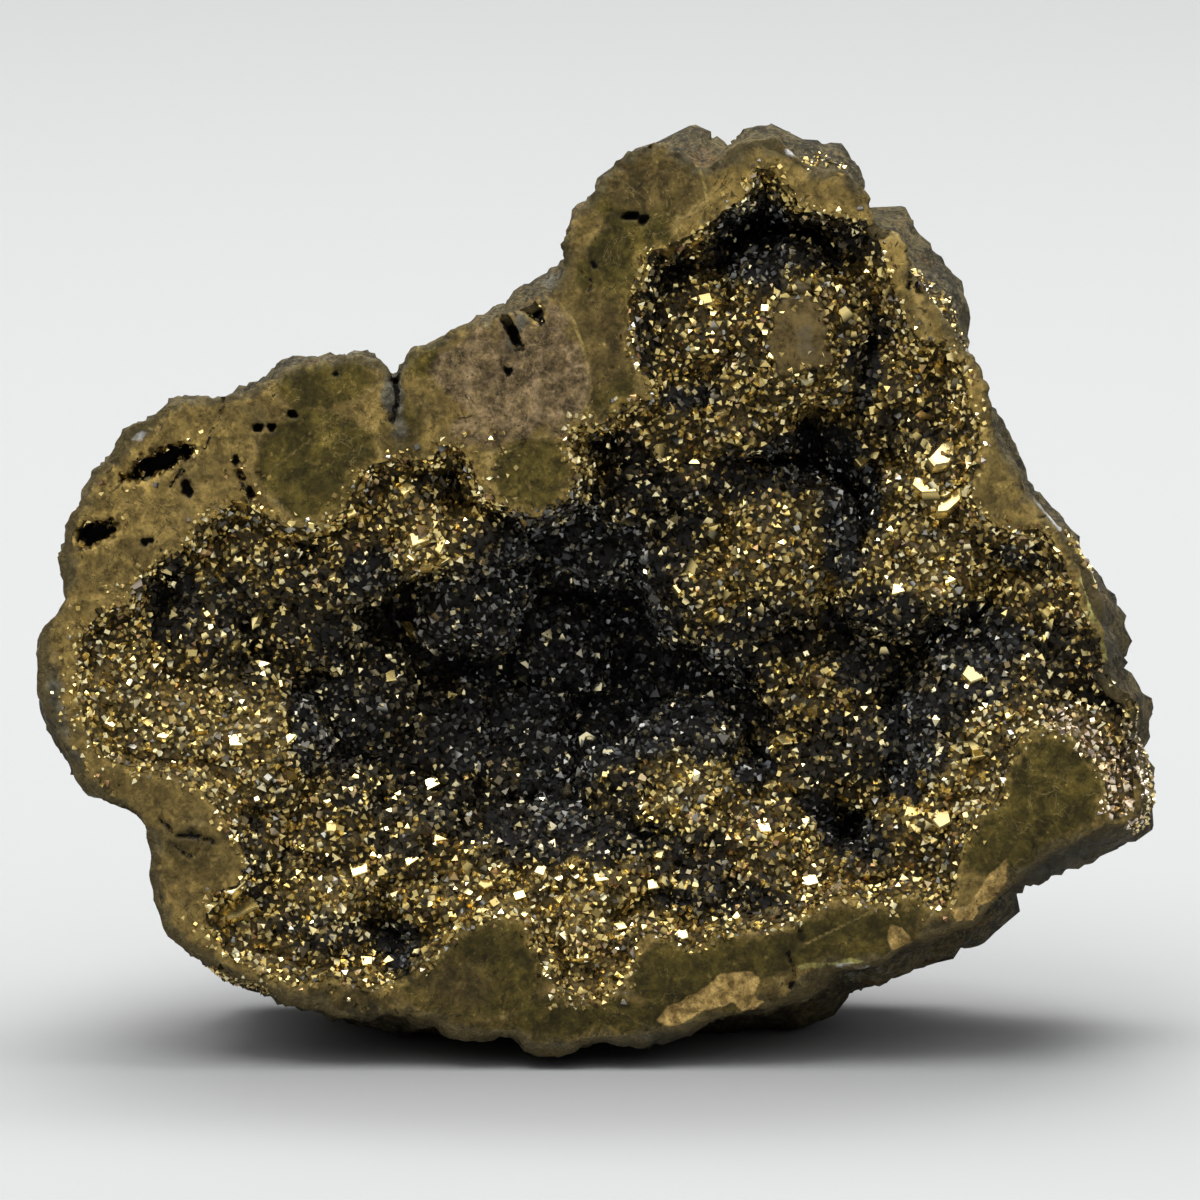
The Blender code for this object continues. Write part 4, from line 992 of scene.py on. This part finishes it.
def add_crystals(name, places, axes, sizes, material, rng):
    """One mesh of many small closed crystals, half sunk in the surface that they grow on."""
    forms = crystal_forms()
    kind = rng.choice(len(forms), len(places), p=[0.30, 0.24, 0.16, 0.18, 0.12])
    frames = crystal_frames(axes, CRYSTAL_TILT, rng)
    stretch = rng.uniform(0.75, 1.25, (len(places), 3))
    values = {
        "tone": rng.random(len(places)),
        "tint": rng.random(len(places)),
        "shade": shade_at(places),
        "pale": ellipse_field(places[:, :2], PALE_DRUSE),
        "glow": ellipse_field(places[:, :2], BRIGHT_DRUSE),
    }
    points, faces = [], []
    fields = {field: [] for field in (*values, "foot")}
    start = 0
    for k, (corners, triangles) in enumerate(forms):
        chosen = np.flatnonzero(kind == k)
        local = corners[None] * (sizes[chosen, None] * stretch[chosen])[:, None, :]
        shape = np.einsum("nij,nkj->nki", frames[chosen], local) + places[chosen][:, None]
        points.append(shape.reshape(-1, 3))
        base = start + np.arange(len(chosen))[:, None, None] * len(corners)
        faces.append((triangles[None] + base).reshape(-1, 3))
        for field, value in values.items():
            fields[field].append(np.repeat(value[chosen], len(corners)))
        # Painted shade: each corner gets a foot value, 0 at the crystal's base and 1 at its tip, by which the
        # material darkens the crystal towards its base as the shade in the gaps between crystals
        up = corners[:, 2]
        fields["foot"].append(np.tile((up - up.min()) / (up.max() - up.min()), len(chosen)))
        start += len(chosen) * len(corners)
    fields = {field: np.concatenate(parts) for field, parts in fields.items()}
    return add_mesh(name, np.vstack(points), np.vstack(faces)[:, ::-1], [material], fields=fields)


def add_large_crystals(name, front, material, rng):
    """The crystals that stand out by their size, as blunt plates that face the light from above."""
    tree = kdtree.KDTree(len(front))
    for k, (u, v, _) in enumerate(front):
        tree.insert((u, v, 0), k)
    tree.balance()
    points, faces, tones, feet = [], [], [], []
    start = 0
    for x, y, long, short, sides, turn, lean in LARGE_CRYSTALS:
        u, v = face_point(x, y)
        near = [k for _, k, _ in tree.find_n((u, v, 0), 12)]
        w = front[near, 2].mean()
        wedge = sides == 2
        sides = 6 if wedge else sides
        rise = math.radians(WEDGE_RISE if wedge else PLATE_RISE + LEAN_SHARE * lean + rng.uniform(-6, 6))
        swing = math.radians(rng.uniform(-14, 14))
        stray = rng.uniform(0.74, 1.18, sides)
        bend = rng.uniform(-0.20, 0.20, sides)
        flat = math.cos(rise)
        axis = np.array([flat * math.sin(swing), math.sin(rise), -flat * math.cos(swing)])
        spin = math.radians(turn)
        across = np.array([math.cos(spin), math.sin(spin), 0.0])
        first = across - axis * (across @ axis)
        first /= np.linalg.norm(first)
        second = np.cross(axis, first)
        half, thin = long * SCALE / 2, short * SCALE / 2
        ring = []
        start_angle = 0.5 if sides in (4, 5) else 0.0
        spread = 1.2 if sides > 3 else 1.1
        for share, narrow, lift in WEDGE_PROFILE if wedge else PLATE_PROFILE:
            for k in range(sides):
                angle = math.tau * (k + start_angle) / sides + bend[k]
                along = math.cos(angle) * half * share * stray[k] * spread
                over = math.sin(angle) * thin * narrow * stray[k] * spread
                ring.append((u, v, w) + first * along + second * over + axis * lift * thin)
        points += ring
        for level in (0, sides):
            for k in range(sides):
                after = (k + 1) % sides
                a, b = start + level + k, start + level + after
                faces += [(a, b, b + sides), (a, b + sides, a + sides)]
        for k in range(1, sides - 1):
            faces += [(start, start + k + 1, start + k)]
            faces += [(start + 2 * sides, start + 2 * sides + k, start + 2 * sides + k + 1)]
        tones += [rng.uniform(0.62, 0.88)] * len(ring)
        # Painted shade: the feet darken each crystal towards its base, and a wedge's lower slope is painted
        # darker as its shaded side
        painted_shade_shoulders = [0.15 if wedge and k > sides // 2 else 1.0 for k in range(sides)]
        feet += [0.0] * sides + painted_shade_shoulders + [1.0] * sides
        start += len(ring)
    points = np.array(points)
    points[:, 2] = points[:, 2].clip(0.02)
    nothing = np.zeros(len(points))
    outside = np.full(len(points), -FIELD_LIMIT)
    fields = {
        "tone": tones, "foot": feet, "shade": nothing, "tint": nothing, "pale": outside, "glow": outside
    }
    return add_mesh(name, points, np.array(faces)[:, ::-1], [material], fields=fields)


# Materials


class Graph:
    """A small helper that adds nodes to a material and joins them."""

    def __init__(self, name):
        self.material = bpy.data.materials.new(name)
        self.material.use_nodes = True
        self.tree = self.material.node_tree
        self.shader = self.tree.nodes["Principled BSDF"]

    def node(self, kind, settings=None, **inputs):
        node = self.tree.nodes.new(kind)
        for key, value in (settings or {}).items():
            setattr(node, key, value)
        for key, value in inputs.items():
            socket = node.inputs[int(key[1:])] if key[0] == "i" and key[1:].isdigit() else node.inputs[key]
            self.feed(socket, value)
        return node

    def feed(self, socket, value):
        if isinstance(value, bpy.types.NodeSocket):
            self.tree.links.new(value, socket)
        else:
            socket.default_value = value

    def place(self, size):
        """Object coordinates counted in steps of a size in millimetres."""
        coordinates = self.node("ShaderNodeTexCoord").outputs["Object"]
        scaled = self.node("ShaderNodeVectorMath", {"operation": "SCALE"}, i0=coordinates)
        scaled.inputs["Scale"].default_value = 1000.0 / size
        return scaled.outputs[0]

    def noise(self, size, detail=3.0, rough=0.55, warp=0.0):
        node = self.node("ShaderNodeTexNoise", Vector=self.place(size), Scale=1.0)
        for key, number in (("Detail", detail), ("Roughness", rough), ("Distortion", warp)):
            node.inputs[key].default_value = number
        return node.outputs["Fac"]

    def cells(self, size, feature="F1"):
        node = self.node("ShaderNodeTexVoronoi", {"feature": feature}, Vector=self.place(size), Scale=1.0)
        return node.outputs["Distance"]

    def field(self, name):
        return self.node("ShaderNodeAttribute", {"attribute_name": name}).outputs["Fac"]

    def math(self, operation, a, b=0.0):
        return self.node("ShaderNodeMath", {"operation": operation}, i0=a, i1=b).outputs[0]

    def ramp(self, value, low, high, start=0.0, end=1.0):
        """The value mapped from low..high to start..end, held at both ends."""
        node = self.node("ShaderNodeMapRange", Value=value)
        for key, number in (("From Min", low), ("From Max", high), ("To Min", start), ("To Max", end)):
            node.inputs[key].default_value = number
        return node.outputs["Result"]

    def blend(self, share, a, b, mode="MIX"):
        node = self.node("ShaderNodeMix", {"data_type": "RGBA", "blend_type": mode})
        self.feed(node.inputs[0], share)
        self.feed(node.inputs[6], a if isinstance(a, bpy.types.NodeSocket) else (*a, 1))
        self.feed(node.inputs[7], b if isinstance(b, bpy.types.NodeSocket) else (*b, 1))
        return node.outputs[2]

    def bump(self, height, distance, strength=1.0, normal=None):
        node = self.node("ShaderNodeBump", Height=height, Strength=strength)
        node.inputs["Distance"].default_value = distance
        if normal is not None:
            self.feed(node.inputs["Normal"], normal)
        return node.outputs["Normal"]

    def finish(self, colour, roughness, metallic=0.0, normal=None):
        self.feed(self.shader.inputs["Base Color"], colour)
        self.feed(self.shader.inputs["Roughness"], roughness)
        self.feed(self.shader.inputs["Metallic"], metallic)
        if normal is not None:
            self.feed(self.shader.inputs["Normal"], normal)
        return self.material


def face_ground(g, noises):
    """The sawn stone's own colour: ochre with olive lobes, pale veins, a pinkish patch and grey ones."""
    wobble, wide_wobble, mottle, blotch, broad = noises
    ochre = g.blend(g.ramp(broad, 0.36, 0.64), (0.150, 0.104, 0.030), (0.290, 0.196, 0.056))
    ochre = g.blend(g.ramp(blotch, 0.52, 0.68, 0.0, 0.55), ochre, (0.300, 0.205, 0.058))
    ochre = g.blend(g.ramp(blotch, 0.46, 0.34, 0.0, 0.6), ochre, (0.105, 0.080, 0.030))
    olive = g.blend(g.ramp(blotch, 0.38, 0.64), (0.054, 0.042, 0.0085), (0.138, 0.101, 0.0190))
    brown = g.blend(g.ramp(blotch, 0.38, 0.64), (0.080, 0.056, 0.018), (0.165, 0.112, 0.035))
    olive = g.blend(g.ramp(g.math("ADD", g.field("brown"), wide_wobble), -0.3, 0.9, 0.0, 0.85), olive, brown)
    olive_field = g.math("ADD", g.field("olive"), g.math("MULTIPLY", wide_wobble, 0.7))
    colour = g.blend(g.ramp(olive_field, -0.12, 0.38), ochre, olive)
    vein = g.math("MULTIPLY", g.ramp(olive_field, -0.35, -0.12), g.ramp(olive_field, 0.06, -0.10))
    vein = g.math("MULTIPLY", vein, g.ramp(g.noise(2.8, 2), 0.46, 0.64, 0.0, 0.6))
    colour = g.blend(vein, colour, (0.33, 0.250, 0.100))
    pink = g.blend(g.ramp(mottle, 0.38, 0.62), (0.110, 0.076, 0.035), (0.250, 0.172, 0.080))
    pink = g.blend(g.ramp(g.cells(1.5, "DISTANCE_TO_EDGE"), 0.06, 0.0, 0.0, 0.45), pink, (0.30, 0.215, 0.125))
    colour = g.blend(g.ramp(g.math("ADD", g.field("pink"), wide_wobble), 0.0, 0.5), colour, pink)
    grey = g.blend(mottle, (0.045, 0.042, 0.029), (0.19, 0.172, 0.120))
    grey_field = g.math("ADD", g.field("grey"), g.math("MULTIPLY", wobble, 0.7))
    return g.blend(g.ramp(grey_field, -0.05, 0.35), colour, grey)


def face_wear(g, colour, noises):
    """The face's colour with its dirty edge, seams, specks, bright chips, gilt rim and scratches."""
    wobble, _, mottle, blotch, broad = noises
    edge = g.math("ADD", g.field("edge_mm"), g.math("MULTIPLY", wobble, 1.1))
    dirt = g.blend(mottle, (0.030, 0.026, 0.014), (0.150, 0.122, 0.058))
    colour = g.blend(g.ramp(edge, 0.55, 0.10, 0.0, 0.75), colour, dirt)
    bright_seam = g.math("ABSOLUTE", g.math("SUBTRACT", g.noise(2.3, 4, 0.62, 0.8), 0.5))
    bright_seam = g.math("MULTIPLY", g.ramp(bright_seam, 0.012, 0.002, 0.0, 0.5), g.ramp(broad, 0.50, 0.60))
    colour = g.blend(bright_seam, colour, (0.32, 0.235, 0.085))
    dark_seam = g.math("ABSOLUTE", g.math("SUBTRACT", g.noise(3.4, 5, 0.66, 1.2), 0.47))
    dark_seam = g.math("MULTIPLY", g.ramp(dark_seam, 0.014, 0.002, 0.0, 0.75), g.ramp(blotch, 0.46, 0.56))
    colour = g.blend(dark_seam, colour, (0.030, 0.025, 0.012))
    specks = g.ramp(g.noise(0.34, 2, 0.6), 0.60, 0.70, 0.0, 0.6)
    specks = g.math("MULTIPLY", specks, g.ramp(blotch, 0.48, 0.60))
    colour = g.blend(specks, colour, (0.38, 0.270, 0.085))
    chip = g.math("ADD", g.field("chip"), g.math("MULTIPLY", wobble, 0.35))
    worn_chip = g.blend(g.ramp(mottle, 0.35, 0.6), (0.30, 0.185, 0.050), (0.60, 0.405, 0.135))
    colour = g.blend(g.ramp(chip, -0.03, 0.08), colour, worn_chip)
    rim = g.math("ADD", g.field("rim_mm"), g.math("MULTIPLY", wobble, 0.9))
    gilt = g.math("MULTIPLY", g.ramp(rim, 0.85, 0.02), g.ramp(g.noise(0.5, 3), 0.42, 0.60, 0.05, 0.75))
    vug_gilt = g.ramp(g.field("vug_mm"), 0.9, 0.1, 0.0, 0.8)
    vug_gilt = g.math("MULTIPLY", vug_gilt, g.ramp(g.noise(0.6, 3), 0.45, 0.58))
    gilt = g.math("MAXIMUM", gilt, vug_gilt)
    colour = g.blend(gilt, colour, (0.46, 0.315, 0.085))
    scratch = g.ramp(g.field("scratch"), -0.03, 0.04, 0.0, 0.75)
    colour = g.blend(scratch, colour, (0.30, 0.220, 0.070))
    sulphur = g.math("ADD", g.field("sulphur"), g.math("MULTIPLY", wobble, 0.3))
    return g.blend(g.ramp(sulphur, -0.05, 0.08, 0.0, 0.85), colour, (0.42, 0.38, 0.12))


def face_tone_and_painted_light(g, mottle):
    """How bright the sawn face is in patches and flecks, and lighter towards its top as painted light from
    above.
    """
    patches = g.ramp(g.noise(1.7, 5, 0.62, 0.9), 0.47, 0.52, 0.76, 1.12)
    flecks = g.ramp(g.noise(0.75, 3, 0.6, 0.5), 0.40, 0.45, 0.66, 1.0)
    value = g.math("MULTIPLY", g.ramp(mottle, 0.34, 0.66, 0.62, 1.42), g.math("MULTIPLY", patches, flecks))
    value = g.math("MULTIPLY", value, g.ramp(g.noise(0.24, 3, 0.7), 0.36, 0.64, 0.80, 1.20))
    # Painted light: the face is made lighter towards its top, as if lit from above
    height = g.node("ShaderNodeSeparateXYZ", i0=g.place(1.0)).outputs["Z"]
    value = g.math("MULTIPLY", value, g.ramp(height, 4.0, 58.0, 0.78, 1.14))
    return g.math("MULTIPLY", value, g.ramp(g.field("light"), -0.4, 0.4, 1.0, 1.18))


def face_material():
    """The sawn face: satin ochre with marks and wear, white chips, dark cracks, and pores and vugs painted
    dark as painted shade.
    """
    g = Graph("sawn_face")
    wobble = g.ramp(g.noise(1.7, 4, 0.6), 0.3, 0.7, -0.5, 0.5)
    wide_wobble = g.math("ADD", wobble, g.ramp(g.noise(4.0, 3, 0.6), 0.3, 0.7, -0.6, 0.6))
    mottle = g.noise(0.9, 6, 0.74)
    blotch = g.noise(2.6, 4, 0.6, 0.6)
    broad = g.noise(5.5, 3)
    noises = (wobble, wide_wobble, mottle, blotch, broad)
    colour = face_wear(g, face_ground(g, noises), noises)
    colour = g.blend(1.0, colour, face_tone_and_painted_light(g, mottle), "MULTIPLY")
    white = g.ramp(g.math("ADD", g.field("white"), g.math("MULTIPLY", wobble, 0.4)), -0.05, 0.2)
    colour = g.blend(white, colour, (0.72, 0.71, 0.67))
    # Painted shade: dark specks stand for the shade in small pores
    painted_pore_shade = g.ramp(g.noise(0.6, 2, 0.5, 0.8), 0.66, 0.71, 0.0, 0.8)
    painted_pore_shade = g.math("MULTIPLY", painted_pore_shade, g.ramp(broad, 0.45, 0.55))
    colour = g.blend(painted_pore_shade, colour, (0.022, 0.018, 0.010))
    # Painted shade: the vugs are coloured near black as the shade in their hollows; the cracks are dark seams
    crack = g.math("ADD", g.field("crack"), g.ramp(g.noise(0.4, 3, 0.7), 0.3, 0.7, -0.20, 0.10))
    dark = g.math("MAXIMUM", g.ramp(crack, -0.03, 0.03), g.ramp(g.field("vug"), 0.05, 0.4))
    colour = g.blend(dark, colour, (0.010, 0.008, 0.006))
    roughness = g.ramp(mottle, 0.3, 0.7, 0.45, 0.70)
    g.shader.inputs["Specular IOR Level"].default_value = 0.15
    normal = g.bump(mottle, 0.00012, 0.6)
    return g.finish(colour, roughness, 0.0, normal)


def rind_material():
    """The rough outer rind: olive brown with grey and rusty dirt, darker in its pits and lighter on its
    crumbs as painted shade and painted light, with a band of painted shade along its bottom.
    """
    g = Graph("rind")
    broad = g.noise(5.0, 4)
    mid = g.noise(1.3, 5, 0.7)
    fine = g.noise(0.35, 3, 0.7)
    colour = g.blend(g.ramp(broad, 0.38, 0.62), (0.046, 0.038, 0.019), (0.118, 0.090, 0.036))
    # Painted light and shade: lighter crumbs and near-black crevices, mixed with the rind's own mottled
    # colour
    colour = g.blend(g.ramp(mid, 0.50, 0.62, 0.0, 0.7), colour, (0.190, 0.148, 0.066))
    colour = g.blend(g.ramp(mid, 0.47, 0.38, 0.0, 0.85), colour, (0.020, 0.017, 0.010))
    colour = g.blend(g.ramp(fine, 0.54, 0.66, 0.0, 0.55), colour, (0.24, 0.200, 0.110))
    colour = g.blend(g.ramp(fine, 0.47, 0.37, 0.0, 0.75), colour, (0.014, 0.012, 0.008))
    pale = g.math("MULTIPLY", g.ramp(g.noise(2.4, 2), 0.62, 0.72, 0.0, 0.6), g.ramp(fine, 0.4, 0.55))
    colour = g.blend(pale, colour, (0.22, 0.215, 0.175))
    rust = g.math("MULTIPLY", g.ramp(g.noise(3.1, 3), 0.58, 0.68, 0.0, 0.5), g.ramp(fine, 0.35, 0.6))
    colour = g.blend(rust, colour, (0.20, 0.105, 0.030))
    colour = g.blend(g.ramp(g.field("deep_mm"), 1.6, 0.15, 0.0, 0.45), colour, (0.185, 0.135, 0.050))
    # Painted shade: the dark_rind field also darkens a band along the rind's bottom, as the shade under the
    # stone
    gloom = g.math("ADD", g.field("dark_rind"), g.ramp(mid, 0.3, 0.7, -0.6, 0.6))
    gloom = g.math("MULTIPLY", g.ramp(gloom, -0.2, 0.6, 0.0, 0.75), g.ramp(g.field("deep_mm"), 7.0, 2.5))
    colour = g.blend(gloom, colour, g.blend(mid, (0.020, 0.019, 0.012), (0.098, 0.092, 0.062)))
    white = g.math("MULTIPLY", g.ramp(g.field("white"), -0.05, 0.1), g.ramp(g.field("deep_mm"), 0.9, 0.3))
    colour = g.blend(white, colour, (0.70, 0.69, 0.65))
    g.shader.inputs["Specular IOR Level"].default_value = 0.2
    rough = g.bump(g.noise(0.8, 5, 0.75), 0.0010, 0.9)
    return g.finish(colour, g.ramp(fine, 0.3, 0.7, 0.65, 0.9), 0.0, g.bump(fine, 0.0002, 0.7, rough))


def crystal_material(name):
    """Brass-gold chalcopyrite: each crystal has its own tone, the shaded parts are black as tarnish and
    painted shade, and each crystal is darker towards its foot as painted shade.
    """
    g = Graph(name)
    # Painted light and cleaner gold: the tone is raised in the druse's brightest parts
    tone = g.math("ADD", g.field("tone"), g.ramp(g.field("glow"), -0.5, 0.8, 0.0, 0.20))
    tone = g.math("ADD", tone, g.ramp(g.field("pale"), -0.3, 0.5, 0.0, 0.25))
    shade = g.field("shade")
    tint = g.field("tint")
    gold = g.blend(g.ramp(tone, 0.0, 0.35), (0.090, 0.066, 0.027), (0.560, 0.405, 0.130))
    gold = g.blend(g.ramp(tone, 0.35, 0.62), gold, (0.90, 0.71, 0.28))
    gold = g.blend(g.ramp(tone, 0.76, 1.0), gold, (0.97, 0.86, 0.52))
    gold = g.blend(g.ramp(tint, 0.80, 0.86, 0.0, 0.6), gold, (0.30, 0.150, 0.085))
    gold = g.blend(g.ramp(tint, 0.92, 0.96, 0.0, 0.8), gold, (0.34, 0.36, 0.34))
    pale = g.math("MULTIPLY", g.ramp(g.field("pale"), -0.3, 0.5), g.ramp(tint, 0.15, 0.6, 0.3, 0.9))
    gold = g.blend(pale, gold, (0.88, 0.72, 0.58))
    brown = g.blend(g.ramp(tone, 0.1, 0.9), (0.028, 0.024, 0.017), (0.225, 0.182, 0.104))
    dark = g.blend(g.ramp(tone, 0.1, 0.9), (0.042, 0.043, 0.045), (0.275, 0.270, 0.245))
    dark = g.blend(g.ramp(shade, 0.84, 1.0), brown, dark)
    # Painted shade and tarnish: crystals are coloured dark where the shade field is high
    lit = g.ramp(g.math("SUBTRACT", tone, g.math("MULTIPLY", shade, 0.95)), -0.12, 0.06)
    colour = g.blend(lit, dark, gold)
    # Painted shade: each crystal is darkened towards its foot, as the shade in the gaps between crystals
    colour = g.blend(1.0, colour, g.ramp(g.field("foot"), 0.08, 0.66, 0.07, 1.04), "MULTIPLY")
    return g.finish(colour, g.ramp(tone, 0.0, 1.0, 0.32, 0.16), 0.92)


def base_material():
    """The crust between and under the crystals: dark, partly as painted shade in the gaps, rough and dull,
    and worn brown where it was sawn.
    """
    g = Graph("crust_base")
    fine = g.noise(0.5, 4, 0.7)
    # Painted shade: the crust's dark colour stands in part for the shade in the gaps between crystals
    colour = g.blend(g.ramp(fine, 0.38, 0.64), (0.010, 0.008, 0.004), (0.090, 0.064, 0.022))
    bright = g.blend(g.ramp(fine, 0.38, 0.60), (0.016, 0.012, 0.005), (0.170, 0.120, 0.040))
    # Painted light and cleaner gold: the crust is lighter in the druse's brightest parts
    colour = g.blend(g.ramp(g.field("glow"), -0.5, 0.8), colour, bright)
    # Painted shade and tarnish: the crust is darker in the druse's shaded parts
    colour = g.blend(g.ramp(g.field("shade"), 0.2, 0.8), colour, (0.013, 0.012, 0.011))
    ragged_edge = g.ramp(g.noise(0.8, 4, 0.7), 0.3, 0.7, -0.14, 0.14)
    sawn = g.ramp(g.math("ADD", g.field("sawn"), ragged_edge), -0.04, 0.10)
    worn = g.blend(g.ramp(g.noise(1.1, 5, 0.75), 0.38, 0.62), (0.062, 0.043, 0.014), (0.215, 0.148, 0.052))
    worn = g.blend(g.ramp(g.noise(2.2, 2), 0.56, 0.66, 0.0, 0.5), worn, (0.095, 0.088, 0.066))
    colour = g.blend(sawn, colour, worn)
    g.shader.inputs["Specular IOR Level"].default_value = 0.15
    return g.finish(colour, 0.6, 0.0, g.bump(fine, 0.0001, 0.5))


def paper_material():
    """The stage's pale matt paper, with a faint unevenness."""
    g = Graph("paper")
    shade = g.ramp(g.node("ShaderNodeTexNoise", Scale=3.0).outputs["Fac"], 0.3, 0.7)
    tint = tuple(0.985 * c for c in PAPER)
    return g.finish(g.blend(shade, PAPER, tint), 0.8)


# Stage, light and camera


def add_stage():
    """A pale floor that sweeps up into a pale backdrop."""
    profile = [(-FLOOR_HALF, 0.0), (BACKDROP_START, 0.0)]
    for k in range(1, 13):
        angle = k * math.pi / 2 / 12
        profile.append((BACKDROP_START + BEND * math.sin(angle), BEND * (1 - math.cos(angle))))
    profile.append((BACKDROP_START + BEND, BACKDROP_HIGH))
    points = [(x, y, z) for y, z in profile for x in (-FLOOR_HALF, FLOOR_HALF)]
    faces = [(2 * k, 2 * k + 1, 2 * k + 3, 2 * k + 2) for k in range(len(profile) - 1)]
    mesh = bpy.data.meshes.new("floor")
    mesh.from_pydata(points, [], faces)
    mesh.polygons.foreach_set("use_smooth", [True] * len(faces))
    mesh.materials.append(paper_material())
    floor = bpy.data.objects.new("floor", mesh)
    bpy.context.scene.collection.objects.link(floor)


def add_light(name, place, target, size, power):
    """An oblong soft box that shines from a place towards a target."""
    light = bpy.data.lights.new(name, "AREA")
    light.shape = "RECTANGLE"
    light.size, light.size_y = size
    light.energy = power
    obj = bpy.data.objects.new(name, light)
    obj.location = place
    obj.rotation_euler = (Vector(target) - Vector(place)).to_track_quat("-Z", "Y").to_euler()
    bpy.context.scene.collection.objects.link(obj)


def add_camera():
    """The camera, whose middle looks at the photograph's middle on the sawn face."""
    target = Vector(to_model([(*face_point(600, 600), 0)])[0])
    rise = math.radians(CAMERA_RISE)
    camera = bpy.data.cameras.new("camera")
    camera.sensor_width = SENSOR
    camera.sensor_fit = "HORIZONTAL"
    camera.lens = SENSOR * CAMERA_DISTANCE / (FRAME_PX * SCALE / 1000)
    camera.clip_start = 0.01
    obj = bpy.data.objects.new("camera", camera)
    obj.location = target + CAMERA_DISTANCE * Vector((0, -math.cos(rise), math.sin(rise)))
    obj.rotation_euler = (target - obj.location).to_track_quat("-Z", "Y").to_euler()
    bpy.context.scene.collection.objects.link(obj)
    bpy.context.scene.camera = obj


def add_lighting():
    """A dome of soft light, bright overhead and dim round the horizon, and the soft boxes."""
    world = bpy.data.worlds.new("room")
    bpy.context.scene.world = world
    world.use_nodes = True
    tree = world.node_tree
    background = tree.nodes["Background"]
    coordinates = tree.nodes.new("ShaderNodeTexCoord")
    split = tree.nodes.new("ShaderNodeSeparateXYZ")
    height = tree.nodes.new("ShaderNodeMapRange")
    tree.links.new(coordinates.outputs["Generated"], split.inputs[0])
    tree.links.new(split.outputs["Z"], height.inputs["Value"])
    span = (("From Min", DOME_FROM), ("From Max", DOME_TO), ("To Min", DOME_LOW), ("To Max", DOME_HIGH))
    for key, number in span:
        height.inputs[key].default_value = number
    tree.links.new(height.outputs["Result"], background.inputs["Strength"])
    background.inputs["Color"].default_value = DOME_COLOUR
    for name, place, target, size, power in SOFT_BOXES:
        add_light(name, place, target, size, power)


def main():
    rng = np.random.default_rng(RANDOM_SEED)
    edge = smooth_loop([(*face_point(x, y), out * SCALE) for x, y, out in CUT_EDGE], OUTLINE_POINTS)
    rim = smooth_loop([face_point(x, y) for x, y in HOLLOW_RIM], RIM_POINTS)
    rim = rim + loop_normals(rim) * (0.20 * ragged(rim, 1.4, 1) + 0.10 * ragged(rim, 0.6, 4))[:, None]
    rim = keep_inside(rim, edge, LEAST_BAND - 0.35)
    hollow = hollow_surface(rim, edge)

    stone, bearing, gilded = build_stone(edge, rim, hollow, [face_material(), rind_material()])
    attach(stone, "root")
    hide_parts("stone")

    base = druse_base(rim, hollow, base_material())
    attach(base, "root")
    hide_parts("crystal_crust")

    gold = crystal_material("chalcopyrite")
    front, faces = hollow
    for name, spacing, low, high, sink in CRYSTAL_LAYERS:
        places, normals = scatter(front, faces, spacing, rng)
        sizes = rng.uniform(low, high, len(places))
        places = places - normals * sink
        places[:, 2] = np.maximum(places[:, 2], 0.36 * sizes)
        keep = sawn_top_reach(places) > rng.uniform(0.45, 1.10, len(places))
        axes = normals + CRYSTAL_RISE
        crystals = add_crystals(name, places[keep], axes[keep], sizes[keep], gold, rng)
        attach(crystals, "root")

    places, normals = scatter(bearing, gilded, RIM_SPACING, rng)
    outside = -distance_inside(places[:, :2], rim)[0]
    keep = (rng.random(len(places)) < (1.15 - outside).clip(0.28, 1)) | (places[:, 2] > 0.6)
    places, normals = places[keep], normals[keep]
    sizes = rng.uniform(*RIM_SIZES, len(places))
    places = places - normals * RIM_SINK
    low, high = (1000 * c[0] - FACE_X for c in cad_bounds)
    places[:, 0] = places[:, 0].clip(low + FRINGE_MARGIN, high - FRINGE_MARGIN)
    fringe = add_crystals("crystals_rim", places, normals + CRYSTAL_RISE, sizes, gold, rng)
    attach(fringe, "root")

    large = add_large_crystals("crystals_large", front, gold, rng)
    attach(large, "root")

    bpy.context.scene.view_settings.view_transform = "Standard"
    add_stage()
    add_lighting()
    add_camera()


main()
